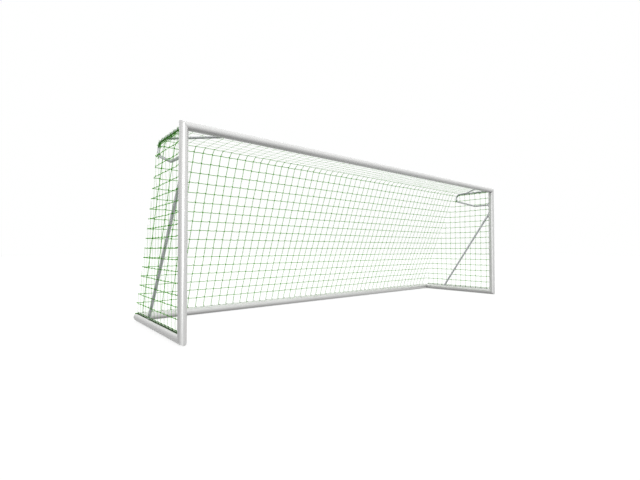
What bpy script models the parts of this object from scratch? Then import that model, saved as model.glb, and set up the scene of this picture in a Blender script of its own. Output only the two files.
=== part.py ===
"""Full-size free-standing soccer goal.

A rectangular mouth frame and a ground frame are made from one oval aluminium
extrusion, mitred at every corner over a hollow cast elbow. Two bent net hoops
stand out behind the top corners, each stayed to the crossbar by a short brace.
A straight strut runs from each post down to its ground tube. Hook rails snap
into the outer quadrants of the tubes, notched to pass the welded flanges, and
hold the four panels of the net.

Working coordinates: x from the left post's axis to the right, y from the mouth's
axis plane to the rear, z up from the ground. Every piece is then moved so that
the origin is the middle of the goal's footprint, on the ground. The mouth
faces -Y.
"""

import math

import bmesh
import bpy
from mathutils import Vector

# ---------------------------------------------------------------- dimensions
MOUTH_W = 7.32  # clear width between the posts
MOUTH_H = 2.44  # clear height under the crossbar
SHORT = 0.100  # oval profile, short axis
LONG = 0.120  # oval profile, long axis
WALL = 0.003  # wall of the extrusion
DEPTH = 1.835  # mouth's axis plane to the rear bar's axis
SIDES = 32  # facets round the profile
GAP = 0.0003  # clearance between pieces that touch
MITRE_GAP = 0.0002  # taken off each mitred end, along the tube

ELBOW_ARM = 0.150  # corner elbow, from the axes' crossing to each end
ELBOW_WALL = 0.005
ELBOW_SIDES = 16
ELBOW_SCREW_AT = 0.110  # corner screw, from the axes' crossing

HOOP_R = 0.0175  # net hoop, outer radius of the tube
HOOP_WALL = 0.0025
HOOP_SIDES = 12
HOOP_TOP_Z = 2.490
HOOP_LOW_Z = 2.150
HOOP_REAR_Y = 0.910
HOOP_PATH = (  # (y, z, bend radius) of the corners of the hoop's centreline
    (0.030, HOOP_TOP_Z, 0.0),
    (HOOP_REAR_Y, HOOP_TOP_Z, 0.100),
    (HOOP_REAR_Y, 2.316, 0.055),
    (0.415, HOOP_LOW_Z, 0.300),
    (0.030, HOOP_LOW_Z, 0.0),
)

STRUT_R = 0.020  # side strut
STRUT_WALL = 0.0025
STRUT_TOP = (0.067, 1.920)  # (y, z) where its axis meets the post
STRUT_FOOT = (1.275, 0.120)  # (y, z) where its axis meets the ground tube

BRACE_R = 0.0145  # top brace
BRACE_WALL = 0.002
BRACE_AT_HOOP_Y = 0.660
BRACE_AT_BAR_X = 0.600
BRACE_Z = 2.490

FLANGE_T = 0.005  # thickness of the welded end flanges over the tube's crown
FLANGE_HALF_W = 0.0205

SCREW_R = 0.004
SCREW_HEAD_R = 0.007
SCREW_HEAD_H = 0.0045
SCREW_CLEAR = 0.0004
BRACE_SCREW_R = 0.003
BRACE_SCREW_HEAD_R = 0.0052
BRACE_SCREW_HEAD_H = 0.0035

RAIL_ANGLE = 50.0  # crossbar rail: its normal, in degrees from the profile's short axis
RAIL_ANGLE_POST = 56.0  # the same on the posts
RAIL_ANGLE_GROUND = 70.0  # the same on the ground tubes
RAIL_ANGLE_REAR = 30.0  # the same on the rear bar
RAIL_HALF_W = 0.009
RAIL_T = 0.0035
HOOK_W = 0.010  # width of a hook along its rail
HOOK_TOP = 0.0790  # crossbar rail: top of a hook, from the tube's axis, in the net's direction
HOOK_OUT = 0.0345  # crossbar rail: outer edge of a hook, from the tube's axis
PEG_R = 0.0035
PEG_DEPTH = 0.009

MESH = 0.1362  # net mesh, up the panels
MESH_X = 0.1365  # hooks, along the crossbar and the rear bar
MESH_Y = 0.1346  # net mesh, front to rear on the side panels
ROW_0 = 0.1416  # height of the net's lowest row
SIDE_COLUMN_0 = 0.1485  # first column of a side panel behind the post
NET_T = 0.001  # thickness of the plain sheets that stand for the net
NET_SIDE_X = 0.0230  # inner face of a side panel, outside the post's axis
NET_ROOF_Z = 2.5185
NET_BACK_TOP = (0.935, 2.455)  # (y, z)
NET_BACK_LOW = (1.880, 0.1415)

# ------------------------------------------------------------ derived values
A = SHORT / 2
B = LONG / 2
SPAN = MOUTH_W + SHORT  # post axis to post axis
BAR_Z = MOUTH_H + A  # crossbar axis
SHIFT = Vector((-SPAN / 2, -(DEPTH + A - B) / 2, 0.0))

COLUMNS_X = [SPAN / 2 + (k - 26.5) * MESH_X for k in range(54)]
COLUMNS_Y = [SIDE_COLUMN_0 + k * MESH_Y for k in range(13)]
ROWS_Z = [ROW_0 + k * MESH for k in range(1, 17)]


# ------------------------------------------------------------------ clearing
for old in list(bpy.data.objects):
    bpy.data.objects.remove(old, do_unlink=True)
for old in list(bpy.data.meshes):
    bpy.data.meshes.remove(old)

ROOT = bpy.data.objects.new("goal", None)
bpy.context.scene.collection.objects.link(ROOT)


# ----------------------------------------------------------------- materials
def material(name, colour, rough, metallic):
    m = bpy.data.materials.new(name)
    m.use_nodes = True
    s = m.node_tree.nodes["Principled BSDF"]
    s.inputs["Base Color"].default_value = (*colour, 1.0)
    s.inputs["Roughness"].default_value = rough
    s.inputs["Metallic"].default_value = metallic
    m.diffuse_color = (*colour, 1.0)
    return m


def own(base, name):
    m = base.copy()
    m.name = name
    return m


ALUMINIUM = material("profile_aluminium", (0.72, 0.73, 0.75), 0.38, 0.9)
CASTING = material("cast_aluminium", (0.55, 0.56, 0.57), 0.6, 0.9)
GALVANISED = material("galvanised_steel", (0.42, 0.43, 0.43), 0.45, 0.8)
SCREW = material("screw_steel", (0.6, 0.6, 0.6), 0.3, 1.0)
RAIL = material("rail_plastic", (0.09, 0.11, 0.10), 0.55, 0.0)
NET = material("net_cord", (0.10, 0.30, 0.06), 0.7, 0.0)


# ------------------------------------------------------------- small helpers
def settle(bm):
    bmesh.ops.remove_doubles(bm, verts=bm.verts, dist=2e-6)
    bmesh.ops.dissolve_degenerate(bm, edges=bm.edges, dist=2e-6)
    bmesh.ops.recalc_face_normals(bm, faces=bm.faces)


def mirrored(bm):
    """The same shape on the goal's other side."""
    out = bm.copy()
    for v in out.verts:
        v.co.x = SPAN - v.co.x
    bmesh.ops.reverse_faces(out, faces=out.faces)
    return out


def piece(name, bm, at, base):
    """One named object, its own origin at the working point `at`."""
    at = Vector(at)
    bmesh.ops.translate(bm, verts=bm.verts, vec=-at)
    me = bpy.data.meshes.new(name)
    bm.to_mesh(me)
    bm.free()
    ob = bpy.data.objects.new(name, me)
    bpy.context.scene.collection.objects.link(ob)
    ob.location = at + SHIFT
    ob.parent = ROOT
    me.materials.append(own(base, name + "_finish"))
    me.shade_smooth()
    me.set_sharp_from_angle(angle=math.radians(30))
    return ob


def boolean(bm, cutter, operation):
    """bm joined with, or cut by, cutter, both closed solids."""
    obs = []
    for b, n in ((bm, "work"), (cutter, "tool")):
        bmesh.ops.triangulate(b, faces=b.faces)
        me = bpy.data.meshes.new(n)
        b.to_mesh(me)
        ob = bpy.data.objects.new(n, me)
        bpy.context.scene.collection.objects.link(ob)
        obs.append(ob)
    work, tool = obs
    mod = work.modifiers.new("join", "BOOLEAN")
    mod.operation = operation
    mod.solver = "EXACT"
    mod.object = tool
    graph = bpy.context.evaluated_depsgraph_get()
    graph.update()
    done = bpy.data.meshes.new_from_object(work.evaluated_get(graph))
    out = bmesh.new()
    out.from_mesh(done)
    for ob in obs:
        me = ob.data
        bpy.data.objects.remove(ob, do_unlink=True)
        bpy.data.meshes.remove(me)
    bpy.data.meshes.remove(done)
    bmesh.ops.remove_doubles(out, verts=out.verts, dist=2e-6)
    return out


def cut(bm, *cutters):
    for c in cutters:
        bm = boolean(bm, c, "DIFFERENCE")
    return bm


def join(bm, *others):
    for o in others:
        bm = boolean(bm, o, "UNION")
    return bm


def axes_for(direction):
    """Two unit vectors square to direction and to each other."""
    d = Vector(direction).normalized()
    side = Vector((1, 0, 0)) if abs(d.x) < 0.7 else Vector((0, 1, 0))
    u = (side - d * side.dot(d)).normalized()
    return d, u, d.cross(u)


def prism(start, end, radius, sides):
    """Solid round bar with flat facets."""
    d, u, v = axes_for(Vector(end) - Vector(start))
    bm = bmesh.new()
    rings = []
    for c in (Vector(start), Vector(end)):
        rings.append(
            [
                bm.verts.new(
                    c
                    + u * (radius * math.cos(2 * math.pi * (k + 0.5) / sides))
                    + v * (radius * math.sin(2 * math.pi * (k + 0.5) / sides))
                )
                for k in range(sides)
            ]
        )
    for k in range(sides):
        j = (k + 1) % sides
        bm.faces.new((rings[0][k], rings[0][j], rings[1][j], rings[1][k]))
    bm.faces.new(rings[0][::-1])
    bm.faces.new(rings[1])
    bmesh.ops.recalc_face_normals(bm, faces=bm.faces)
    return bm


def screw(face, out, radius, head_r, head_h, length):
    """Hexagon-headed screw. face is the point under its head, out points away."""
    d, u, v = axes_for(out)
    bm = bmesh.new()

    def ring(r, h):
        return [
            bm.verts.new(
                Vector(face)
                + d * h
                + u * (r * math.cos(2 * math.pi * (k + 0.5) / 6))
                + v * (r * math.sin(2 * math.pi * (k + 0.5) / 6))
            )
            for k in range(6)
        ]

    rings = [
        ring(head_r, head_h),
        ring(head_r, 0.0),
        ring(radius, 0.0),
        ring(radius, -length),
    ]
    for a, b in zip(rings, rings[1:]):
        for k in range(6):
            j = (k + 1) % 6
            bm.faces.new((a[k], a[j], b[j], b[k]))
    bm.faces.new(rings[0])
    bm.faces.new(rings[-1][::-1])
    bmesh.ops.recalc_face_normals(bm, faces=bm.faces)
    return bm


def screw_hole(face, out, radius, depth):
    d = Vector(out).normalized()
    f = Vector(face)
    return prism(f + d * 0.012, f - d * depth, radius + SCREW_CLEAR, 6)


# ---------------------------------------------------------- the oval profile
def oval(a, b, sides, outside=True):
    """Polygon round (outside) or inside an ellipse, a flat facet at each end of both axes."""
    k = 1 / math.cos(math.pi / sides) if outside else 1.0
    return [
        (
            a * k * math.cos(2 * math.pi * (i + 0.5) / sides),
            b * k * math.sin(2 * math.pi * (i + 0.5) / sides),
        )
        for i in range(sides)
    ]


# Each run of tube is (section to working coordinates, start cut, end cut). The
# section's first axis is the short one and points out of the goal, its second is
# the long one and points the way the net leaves. Cuts give the place along the
# run of each point of the section, so a mitre is a plane at 45 degrees.
def post_left(s, t, w):
    return Vector((-s, t, w))


def post_right(s, t, w):
    return Vector((SPAN + s, t, w))


def bar_top(s, t, w):
    return Vector((w, t, BAR_Z + s))


def ground_left(s, t, w):
    return Vector((-s, w, B + t))


def ground_right(s, t, w):
    return Vector((SPAN + s, w, B + t))


def bar_rear(s, t, w):
    return Vector((w, DEPTH + s, B + t))


RUNS = {
    "left_post": (post_left, lambda s, t: B + t, lambda s, t: BAR_Z + s),
    "right_post": (post_right, lambda s, t: B + t, lambda s, t: BAR_Z + s),
    "crossbar": (bar_top, lambda s, t: -s, lambda s, t: SPAN + s),
    "left_ground_tube": (ground_left, lambda s, t: t, lambda s, t: DEPTH + s),
    "right_ground_tube": (ground_right, lambda s, t: t, lambda s, t: DEPTH + s),
    "rear_ground_bar": (bar_rear, lambda s, t: -s, lambda s, t: SPAN + s),
}


def oval_tube(run, pull=MITRE_GAP):
    """Hollow length of the profile with mitred open ends."""
    to, start, end = RUNS[run]
    bm = bmesh.new()
    rings = []
    for pts in (oval(A, B, SIDES), oval(A - WALL, B - WALL, SIDES)):
        for cut_at, sign in ((start, 1), (end, -1)):
            rings.append(
                [bm.verts.new(to(s, t, cut_at(s, t) + sign * pull)) for s, t in pts]
            )
    o0, o1, i0, i1 = rings
    for k in range(SIDES):
        j = (k + 1) % SIDES
        bm.faces.new((o0[k], o0[j], o1[j], o1[k]))
        bm.faces.new((i0[k], i1[k], i1[j], i0[j]))
        bm.faces.new((o0[k], i0[k], i0[j], o0[j]))
        bm.faces.new((o1[k], o1[j], i1[j], i1[k]))
    bmesh.ops.recalc_face_normals(bm, faces=bm.faces)
    return bm


def oval_solid(run, grow=GAP):
    """The outside of a tube, grown a little: what a part that rests on it is cut to."""
    to, start, end = RUNS[run]
    bm = bmesh.new()
    pts = oval(A + grow, B + grow, SIDES)
    r0 = [bm.verts.new(to(s, t, start(s, t) - 0.0001)) for s, t in pts]
    r1 = [bm.verts.new(to(s, t, end(s, t) + 0.0001)) for s, t in pts]
    for k in range(SIDES):
        j = (k + 1) % SIDES
        bm.faces.new((r0[k], r0[j], r1[j], r1[k]))
    bm.faces.new(r0[::-1])
    bm.faces.new(r1)
    bmesh.ops.recalc_face_normals(bm, faces=bm.faces)
    return bm


def section_point(angle_deg):
    """Point of the oval whose outward normal is at this angle from the short axis, and that normal."""
    c, s = math.cos(math.radians(angle_deg)), math.sin(math.radians(angle_deg))
    k = math.hypot(A * c, B * s)
    return (A * A * c / k, B * B * s / k), (c, s)


def normal_at(run, n):
    to = RUNS[run][0]
    return (to(n[0], n[1], 0.0) - to(0.0, 0.0, 0.0)).normalized()


# ------------------------------------------------------- frame tubes, elbows
tubes = {run: oval_tube(run) for run in RUNS}


def elbow(corner, arm_1, run_1, arm_2, run_2):
    """Hollow cast elbow inside two mitred tubes. arm_1 and arm_2 point along them from the corner."""
    corner = Vector(corner)
    to_1, to_2 = RUNS[run_1][0], RUNS[run_2][0]
    a_1, a_2 = Vector(arm_1), Vector(arm_2)
    bm = bmesh.new()
    clear = WALL + 0.0004
    loops = []
    for shrink in (clear, clear + ELBOW_WALL):
        pts = oval(A - shrink, B - shrink, ELBOW_SIDES, outside=False)
        first = [to_1(s, t, 0.0) - to_1(0.0, 0.0, 0.0) for s, t in pts]
        # the same profile on the second tube meets the first on the mitre
        stations = [[corner + a_1 * ELBOW_ARM + f for f in first]]
        seam = []
        for f in first:
            along = -f.dot(a_2)
            seam.append(corner + f - a_1 * along)
        stations.append(seam)
        end = []
        for p in seam:
            q = p - corner
            end.append(p - a_2 * q.dot(a_2) + a_2 * ELBOW_ARM)
        stations.append(end)
        loops.append([[bm.verts.new(p) for p in ring] for ring in stations])
    outer, inner = loops
    n = ELBOW_SIDES
    for rings, flip in ((outer, False), (inner, True)):
        for r0, r1 in zip(rings, rings[1:]):
            for k in range(n):
                j = (k + 1) % n
                f = (r0[k], r0[j], r1[j], r1[k])
                bm.faces.new(f[::-1] if flip else f)
    for o, i in ((outer[0], inner[0]), (outer[-1], inner[-1])):
        for k in range(n):
            j = (k + 1) % n
            bm.faces.new((o[k], o[j], i[j], i[k]))
    bmesh.ops.recalc_face_normals(bm, faces=bm.faces)
    return bm


X, Y, Z = Vector((1, 0, 0)), Vector((0, 1, 0)), Vector((0, 0, 1))
# (name, corner, arm and tube, arm and tube, screw angle on each tube)
CORNERS = [
    ("top_left", (0, 0, BAR_Z), -Z, "left_post", X, "crossbar", 115.0, 125.0),
    ("top_right", (SPAN, 0, BAR_Z), -Z, "right_post", -X, "crossbar", 115.0, 125.0),
    ("front_left", (0, 0, B), Z, "left_post", Y, "left_ground_tube", 115.0, 210.0),
    ("front_right", (SPAN, 0, B), Z, "right_post", Y, "right_ground_tube", 115.0, 210.0),
    ("rear_left", (0, DEPTH, B), -Y, "left_ground_tube", X, "rear_ground_bar", 210.0, 330.0),
    ("rear_right", (SPAN, DEPTH, B), -Y, "right_ground_tube", -X, "rear_ground_bar", 210.0, 330.0),
]

made = []  # (name, bmesh, working origin, finish)
for name, corner, arm_1, run_1, arm_2, run_2, ang_1, ang_2 in CORNERS:
    body = elbow(corner, arm_1, run_1, arm_2, run_2)
    for arm, run, ang, which in ((arm_1, run_1, ang_1, "a"), (arm_2, run_2, ang_2, "b")):
        (s, t), n = section_point(ang)
        to = RUNS[run][0]
        base = Vector(corner) + arm * ELBOW_SCREW_AT
        out = normal_at(run, n)
        face = base + (to(s, t, 0.0) - to(0.0, 0.0, 0.0)) + out * 0.0007
        hole = screw_hole(face, out, SCREW_R, 0.016)
        tubes[run] = cut(tubes[run], hole)
        body = cut(body, hole)
        made.append(
            (
                f"{name}_corner_screw_{which}",
                screw(face, out, SCREW_R, SCREW_HEAD_R, SCREW_HEAD_H, 0.015),
                face,
                SCREW,
            )
        )
    made.append((f"{name}_corner_elbow", body, corner, CASTING))


# ------------------------------------------------------------------ net hoop
def filleted(corners, step_deg=18.0):
    """Points of a polyline in (y, z) with its corners rounded."""
    pts = [Vector(corners[0][:2])]
    for (py, pz, _), (cy, cz, r), (ny, nz, _) in zip(corners, corners[1:], corners[2:]):
        c = Vector((cy, cz))
        a = (Vector((py, pz)) - c).normalized()
        b = (Vector((ny, nz)) - c).normalized()
        turn = math.pi - a.angle(b)
        back = r * math.tan(turn / 2)
        centre = c + (a + b).normalized() * (r / math.cos(turn / 2))
        start = c + a * back - centre
        n = max(2, math.ceil(math.degrees(turn) / step_deg))
        sign = 1 if a.x * b.y - a.y * b.x < 0 else -1
        for k in range(n + 1):
            ang = sign * turn * k / n
            pts.append(
                centre
                + Vector(
                    (
                        start.x * math.cos(ang) - start.y * math.sin(ang),
                        start.x * math.sin(ang) + start.y * math.cos(ang),
                    )
                )
            )
    pts.append(Vector(corners[-1][:2]))
    return pts


def swept(path, radius, sides):
    """Solid tube along (y, z) points in the plane of the left post's axis."""
    bm = bmesh.new()
    rings = []
    for i, p in enumerate(path):
        before = (path[i] - path[i - 1]).normalized() if i else None
        after = (path[i + 1] - path[i]).normalized() if i + 1 < len(path) else None
        d = ((before or after) + (after or before)).normalized()
        stretch = 1 / d.dot(after or before)
        across = Vector((-d.y, d.x))
        ring = []
        for k in range(sides):
            ang = 2 * math.pi * (k + 0.5) / sides
            off = across * (radius * math.sin(ang) * stretch)
            ring.append(
                bm.verts.new((radius * math.cos(ang), p.x + off.x, p.y + off.y))
            )
        rings.append(ring)
    for r0, r1 in zip(rings, rings[1:]):
        for k in range(sides):
            j = (k + 1) % sides
            bm.faces.new((r0[k], r0[j], r1[j], r1[k]))
    bm.faces.new(rings[0][::-1])
    bm.faces.new(rings[-1])
    bmesh.ops.recalc_face_normals(bm, faces=bm.faces)
    return bm


def flange(centre, out, along, low, high, half_w, inside, outside):
    """Plate with rounded ends. It reaches from `inside` under to `outside` over centre along out."""
    out, along = Vector(out), Vector(along)
    across = out.cross(along)
    outline = []
    r = half_w * 0.6
    for sx, sy, a0 in ((1, 1, 0), (-1, 1, 90), (-1, -1, 180), (1, -1, 270)):
        cx = (high - r) if sx > 0 else (low + r)
        cy = sy * (half_w - r)
        for k in range(3):
            ang = math.radians(a0 + 45 * k)
            outline.append((cx + r * math.cos(ang), cy + r * math.sin(ang)))
    bm = bmesh.new()
    rings = [
        [bm.verts.new(Vector(centre) + along * p + across * q + out * h) for p, q in outline]
        for h in (-inside, outside)
    ]
    n = len(outline)
    for k in range(n):
        j = (k + 1) % n
        bm.faces.new((rings[0][k], rings[0][j], rings[1][j], rings[1][k]))
    bm.faces.new(rings[0][::-1])
    bm.faces.new(rings[1])
    bmesh.ops.recalc_face_normals(bm, faces=bm.faces)
    return bm


hoop_path = filleted(HOOP_PATH)
bore_path = list(hoop_path)
bore_path[0] = bore_path[0] + Vector((-0.01, 0.0))
bore_path[-1] = bore_path[-1] + Vector((-0.01, 0.0))

hoop = swept(hoop_path, HOOP_R, HOOP_SIDES)
hoop_screws = []
for zc, low, high in ((HOOP_TOP_Z, -0.046, 0.044), (HOOP_LOW_Z, -0.048, 0.048)):
    hoop = join(
        hoop,
        flange((0, B, zc), Y, Z, low, high, FLANGE_HALF_W, 0.034, FLANGE_T),
    )
    for dz in (-0.032, 0.032):
        hoop_screws.append(Vector((0, B + FLANGE_T + GAP, zc + dz)))
hoop = cut(
    hoop,
    swept(bore_path, HOOP_R - HOOP_WALL, HOOP_SIDES),
    oval_solid("left_post"),
    oval_solid("crossbar"),
)

for face, tag in zip(hoop_screws, ("top_a", "top_b", "low_a", "low_b")):
    hole = screw_hole(face, Y, SCREW_R, 0.050)
    hoop = cut(hoop, hole)
    for side, run_names in (("left", ("left_post", "crossbar")), ("right", ("right_post", "crossbar"))):
        h = hole if side == "left" else mirrored(hole)
        for run in run_names:
            if run == "crossbar" and not tag.startswith("top"):
                continue
            tubes[run] = cut(tubes[run], h)
        if tag.startswith("top"):
            for k, (n, b, o, f) in enumerate(made):
                if n == f"top_{side}_corner_elbow":
                    made[k] = (n, cut(b, h), o, f)
        bolt = screw(face, Y, SCREW_R, SCREW_HEAD_R, SCREW_HEAD_H, 0.042 if tag == "top_b" else 0.022)
        at = Vector(face)
        if side == "right":
            bolt = mirrored(bolt)
            at.x = SPAN - at.x
        made.append((f"{side}_hoop_screw_{tag}", bolt, at, SCREW))


# ------------------------------------------------------------------ top brace
brace_dir = Vector((BRACE_AT_BAR_X, B - BRACE_AT_HOOP_Y, 0)).normalized()
at_hoop = Vector((0, BRACE_AT_HOOP_Y, BRACE_Z))
at_bar = Vector((BRACE_AT_BAR_X, B, BRACE_Z))
brace = prism(at_hoop, at_bar - Y * 0.02 + X * 0.02, BRACE_R, 10)
brace = join(
    brace,
    flange(at_hoop + X * HOOP_R, X, Y, -0.031, 0.046, 0.0155, 0.013, 0.004),
    flange(at_bar, Y, X, -0.031, 0.048, 0.0185, 0.030, 0.004),
)
brace = cut(
    brace,
    prism(at_hoop - brace_dir * 0.03, at_bar + brace_dir * 0.05, BRACE_R - BRACE_WALL, 10),
    prism(Vector((0, 0.2, BRACE_Z)), Vector((0, 0.9, BRACE_Z)), HOOP_R + GAP, HOOP_SIDES),
    oval_solid("crossbar"),
)
for tag, face, out in (
    ("hoop_end", at_hoop + X * (HOOP_R + 0.004 + GAP) + Y * 0.036, X),
    ("bar_end", at_bar + Y * (0.004 + GAP) + X * 0.037, Y),
):
    hole = screw_hole(face, out, BRACE_SCREW_R, 0.014)
    brace = cut(brace, hole)
    if tag.startswith("hoop"):
        hoop = cut(hoop, hole)
    else:
        tubes["crossbar"] = cut(tubes["crossbar"], hole, mirrored(hole))
    for side in ("left", "right"):
        bolt = screw(face, out, BRACE_SCREW_R, BRACE_SCREW_HEAD_R, BRACE_SCREW_HEAD_H, 0.0125)
        at = Vector(face)
        if side == "right":
            bolt = mirrored(bolt)
            at.x = SPAN - at.x
        made.append((f"{side}_brace_screw_{tag}", bolt, at, SCREW))


# ---------------------------------------------------------------- side strut
s_top = Vector((0, STRUT_TOP[0], STRUT_TOP[1]))
s_foot = Vector((0, STRUT_FOOT[0], STRUT_FOOT[1]))
s_dir = (s_foot - s_top).normalized()
strut = prism(s_top - s_dir * 0.050, s_foot + s_dir * 0.030, STRUT_R, 12)
post_face = Vector((0, B, STRUT_TOP[1]))
foot_face = Vector((0, STRUT_FOOT[0], LONG))
strut = join(
    strut,
    flange(post_face, Y, Z, -0.084, 0.064, FLANGE_HALF_W, 0.030, FLANGE_T),
    flange(foot_face, Z, Y, -0.064, 0.058, FLANGE_HALF_W, 0.030, FLANGE_T),
)
strut = cut(
    strut,
    prism(s_top - s_dir * 0.070, s_foot + s_dir * 0.050, STRUT_R - STRUT_WALL, 12),
    oval_solid("left_post"),
    oval_solid("left_ground_tube"),
)
for tag, face, out in (
    ("post_a", post_face + Y * (FLANGE_T + GAP) + Z * 0.050, Y),
    ("post_b", post_face + Y * (FLANGE_T + GAP) - Z * 0.071, Y),
    ("foot_a", foot_face + Z * (FLANGE_T + GAP) + Y * 0.045, Z),
    ("foot_b", foot_face + Z * (FLANGE_T + GAP) - Y * 0.050, Z),
):
    hole = screw_hole(face, out, SCREW_R, 0.020)
    strut = cut(strut, hole)
    run = "post" if tag.startswith("post") else "ground_tube"
    for side in ("left", "right"):
        h = hole if side == "left" else mirrored(hole)
        tubes[f"{side}_{run}"] = cut(tubes[f"{side}_{run}"], h)
        bolt = screw(face, out, SCREW_R, SCREW_HEAD_R, SCREW_HEAD_H, 0.018)
        at = Vector(face)
        if side == "right":
            bolt = mirrored(bolt)
            at.x = SPAN - at.x
        made.append((f"{side}_strut_screw_{tag}", bolt, at, SCREW))

# each of these tubes is open at both ends, against the tubes that it stands on
for solid, key, at in (
    (hoop, "net_hoop", Vector((0, 0.5, HOOP_TOP_Z))),
    (brace, "top_brace", (at_hoop + at_bar) / 2),
    (strut, "side_strut", (s_top + s_foot) / 2),
):
    other = mirrored(solid)
    made.append((f"left_{key}", solid, at, GALVANISED))
    made.append((f"right_{key}", other, Vector((SPAN - at.x, at.y, at.z)), GALVANISED))


# ----------------------------------------------------------------- hook rails
def block(to, s_range, t_range, w_range):
    """Box in a run of tube's own directions."""
    bm = bmesh.new()
    v = [[[bm.verts.new(to(s, t, w)) for w in w_range] for t in t_range] for s in s_range]
    for a in (0, 1):
        bm.faces.new((v[a][0][0], v[a][1][0], v[a][1][1], v[a][0][1]))
        bm.faces.new((v[0][a][0], v[1][a][0], v[1][a][1], v[0][a][1]))
        bm.faces.new((v[0][0][a], v[1][0][a], v[1][1][a], v[0][1][a]))
    bmesh.ops.recalc_face_normals(bm, faces=bm.faces)
    return bm


def hook_rail(run, angle, start, end, hooks, pegs, notches):
    """Flat strip on the outer quadrant with a hooked lug at each of the hooks' places."""
    to = RUNS[run][0]
    (s0, t0), (ns, nt) = section_point(angle)
    (s_ref, t_ref), _ = section_point(RAIL_ANGLE)
    hook_out, hook_top = HOOK_OUT + s0 - s_ref, HOOK_TOP + t0 - t_ref
    ts, tt = -nt, ns  # tangent, towards the net
    lift = 0.0006

    def at(n, t):
        return (s0 + ns * n + ts * t, t0 + nt * n + tt * t)

    inner_low, outer_low = at(lift, -RAIL_HALF_W), at(lift + RAIL_T, -RAIL_HALF_W)
    outer_up, inner_up = at(lift + RAIL_T, RAIL_HALF_W), at(lift, RAIL_HALF_W)
    lug = [
        outer_up,
        (outer_up[0] + 0.0018, hook_top - 0.0045),
        (hook_out, hook_top - 0.0045),
        (hook_out, hook_top),
        (inner_up[0] + 0.0002, hook_top),
        inner_up,
    ]
    marks = []
    for h in hooks:
        marks += [(h - HOOK_W / 2, True), (h + HOOK_W / 2, False)]
    stations = [start] + [m[0] for m in marks] + [end]
    bm = bmesh.new()

    def vert(p, w):
        return bm.verts.new(to(p[0], p[1], w))

    low_at = stations[::8] + ([end] if (len(stations) - 1) % 8 else [])
    up_out = [vert(outer_up, w) for w in stations]
    up_in = [vert(inner_up, w) for w in stations]
    low_in = [vert(inner_low, w) for w in low_at]
    low_out = [vert(outer_low, w) for w in low_at]
    for i in range(len(low_at) - 1):
        bm.faces.new((low_in[i], low_out[i], low_out[i + 1], low_in[i + 1]))
    for up, low in ((up_out, low_out), (up_in, low_in)):
        i = j = 0  # triangles between the finely and the coarsely divided edge
        while i < len(up) - 1 or j < len(low) - 1:
            if j == len(low) - 1 or (
                i < len(up) - 1 and stations[i + 1] < low_at[j + 1] - 1e-9
            ) or (i < len(up) - 1 and stations[i + 1] <= low_at[j + 1] and i % 8 != 7):
                bm.faces.new((up[i], up[i + 1], low[j]))
                i += 1
            elif i == len(up) - 1 or stations[i] >= low_at[j + 1] - 1e-9:
                bm.faces.new((up[i], low[j + 1], low[j]))
                j += 1
            else:
                bm.faces.new((up[i], up[i + 1], low[j]))
                i += 1
    bm.faces.new((low_in[0], low_out[0], up_out[0], up_in[0])[::-1])
    bm.faces.new((low_in[-1], low_out[-1], up_out[-1], up_in[-1]))
    for i in range(len(stations) - 1):
        if i % 2 == 0:  # plain strip between lugs
            bm.faces.new((up_out[i], up_in[i], up_in[i + 1], up_out[i + 1]))
            continue
        rows = []
        for k in (i, i + 1):
            rows.append(
                [up_out[k]] + [vert(p, stations[k]) for p in lug[1:-1]] + [up_in[k]]
            )
        for a, b in zip(range(len(lug) - 1), range(1, len(lug))):
            bm.faces.new((rows[0][a], rows[0][b], rows[1][b], rows[1][a]))
        bm.faces.new(rows[0])
        bm.faces.new(rows[1][::-1])
    bmesh.ops.recalc_face_normals(bm, faces=bm.faces)
    for low, high in notches:  # past a flange only the strip's outer edge goes on
        bm = boolean(bm, block(to, (-0.01, FLANGE_HALF_W + GAP), (0.04, 0.10), (low, high)), "DIFFERENCE")
    out = normal_at(run, (ns, nt))
    for w in pegs:
        top = to(*at(lift + RAIL_T * 0.5, 0.0), w)
        bm = join(bm, prism(top, top - out * (PEG_DEPTH + RAIL_T * 0.5), PEG_R, 6))
        tubes[run] = cut(
            tubes[run],
            prism(top + out * 0.004, top - out * 0.016, PEG_R + 0.0005, 6),
        )
    mid = to(*at(lift, 0.0), (start + end) / 2)
    return bm, mid


def between(values, low, high):
    return [v for v in values if low <= v <= high]


BAR_PEGS = (0.155, 1.520, 2.885, 4.535, 5.900, 7.265)
POST_NOTCHES = ((1.828, 1.992), (2.094, 2.206))
GROUND_NOTCHES = ((1.203, 1.341),)
rails = [
    ("crossbar_net_rail", "crossbar", RAIL_ANGLE, 0.034, SPAN - 0.034, COLUMNS_X, BAR_PEGS, ()),
    ("rear_bar_net_rail", "rear_ground_bar", RAIL_ANGLE_REAR, 0.034, SPAN - 0.034, COLUMNS_X, BAR_PEGS, ()),
]
for side in ("left", "right"):
    rails += [
        (f"{side}_post_net_rail", f"{side}_post", RAIL_ANGLE_POST, 0.200, 2.420, ROWS_Z, (0.346, 1.299, 2.248), POST_NOTCHES),
        (f"{side}_ground_net_rail", f"{side}_ground_tube", RAIL_ANGLE_GROUND, 0.110, 1.800, COLUMNS_Y, (0.350, 0.888, 1.561), GROUND_NOTCHES),
    ]
for name, run, angle, start, end, hooks, pegs, notches in rails:
    kept = [
        h
        for h in between(hooks, start + 0.02, end - 0.012)
        if not any(low - 0.012 < h < high + 0.012 for low, high in notches)
    ]
    bm, mid = hook_rail(run, angle, start, end, kept, pegs, notches)
    made.append((name, bm, mid, RAIL))


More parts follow.
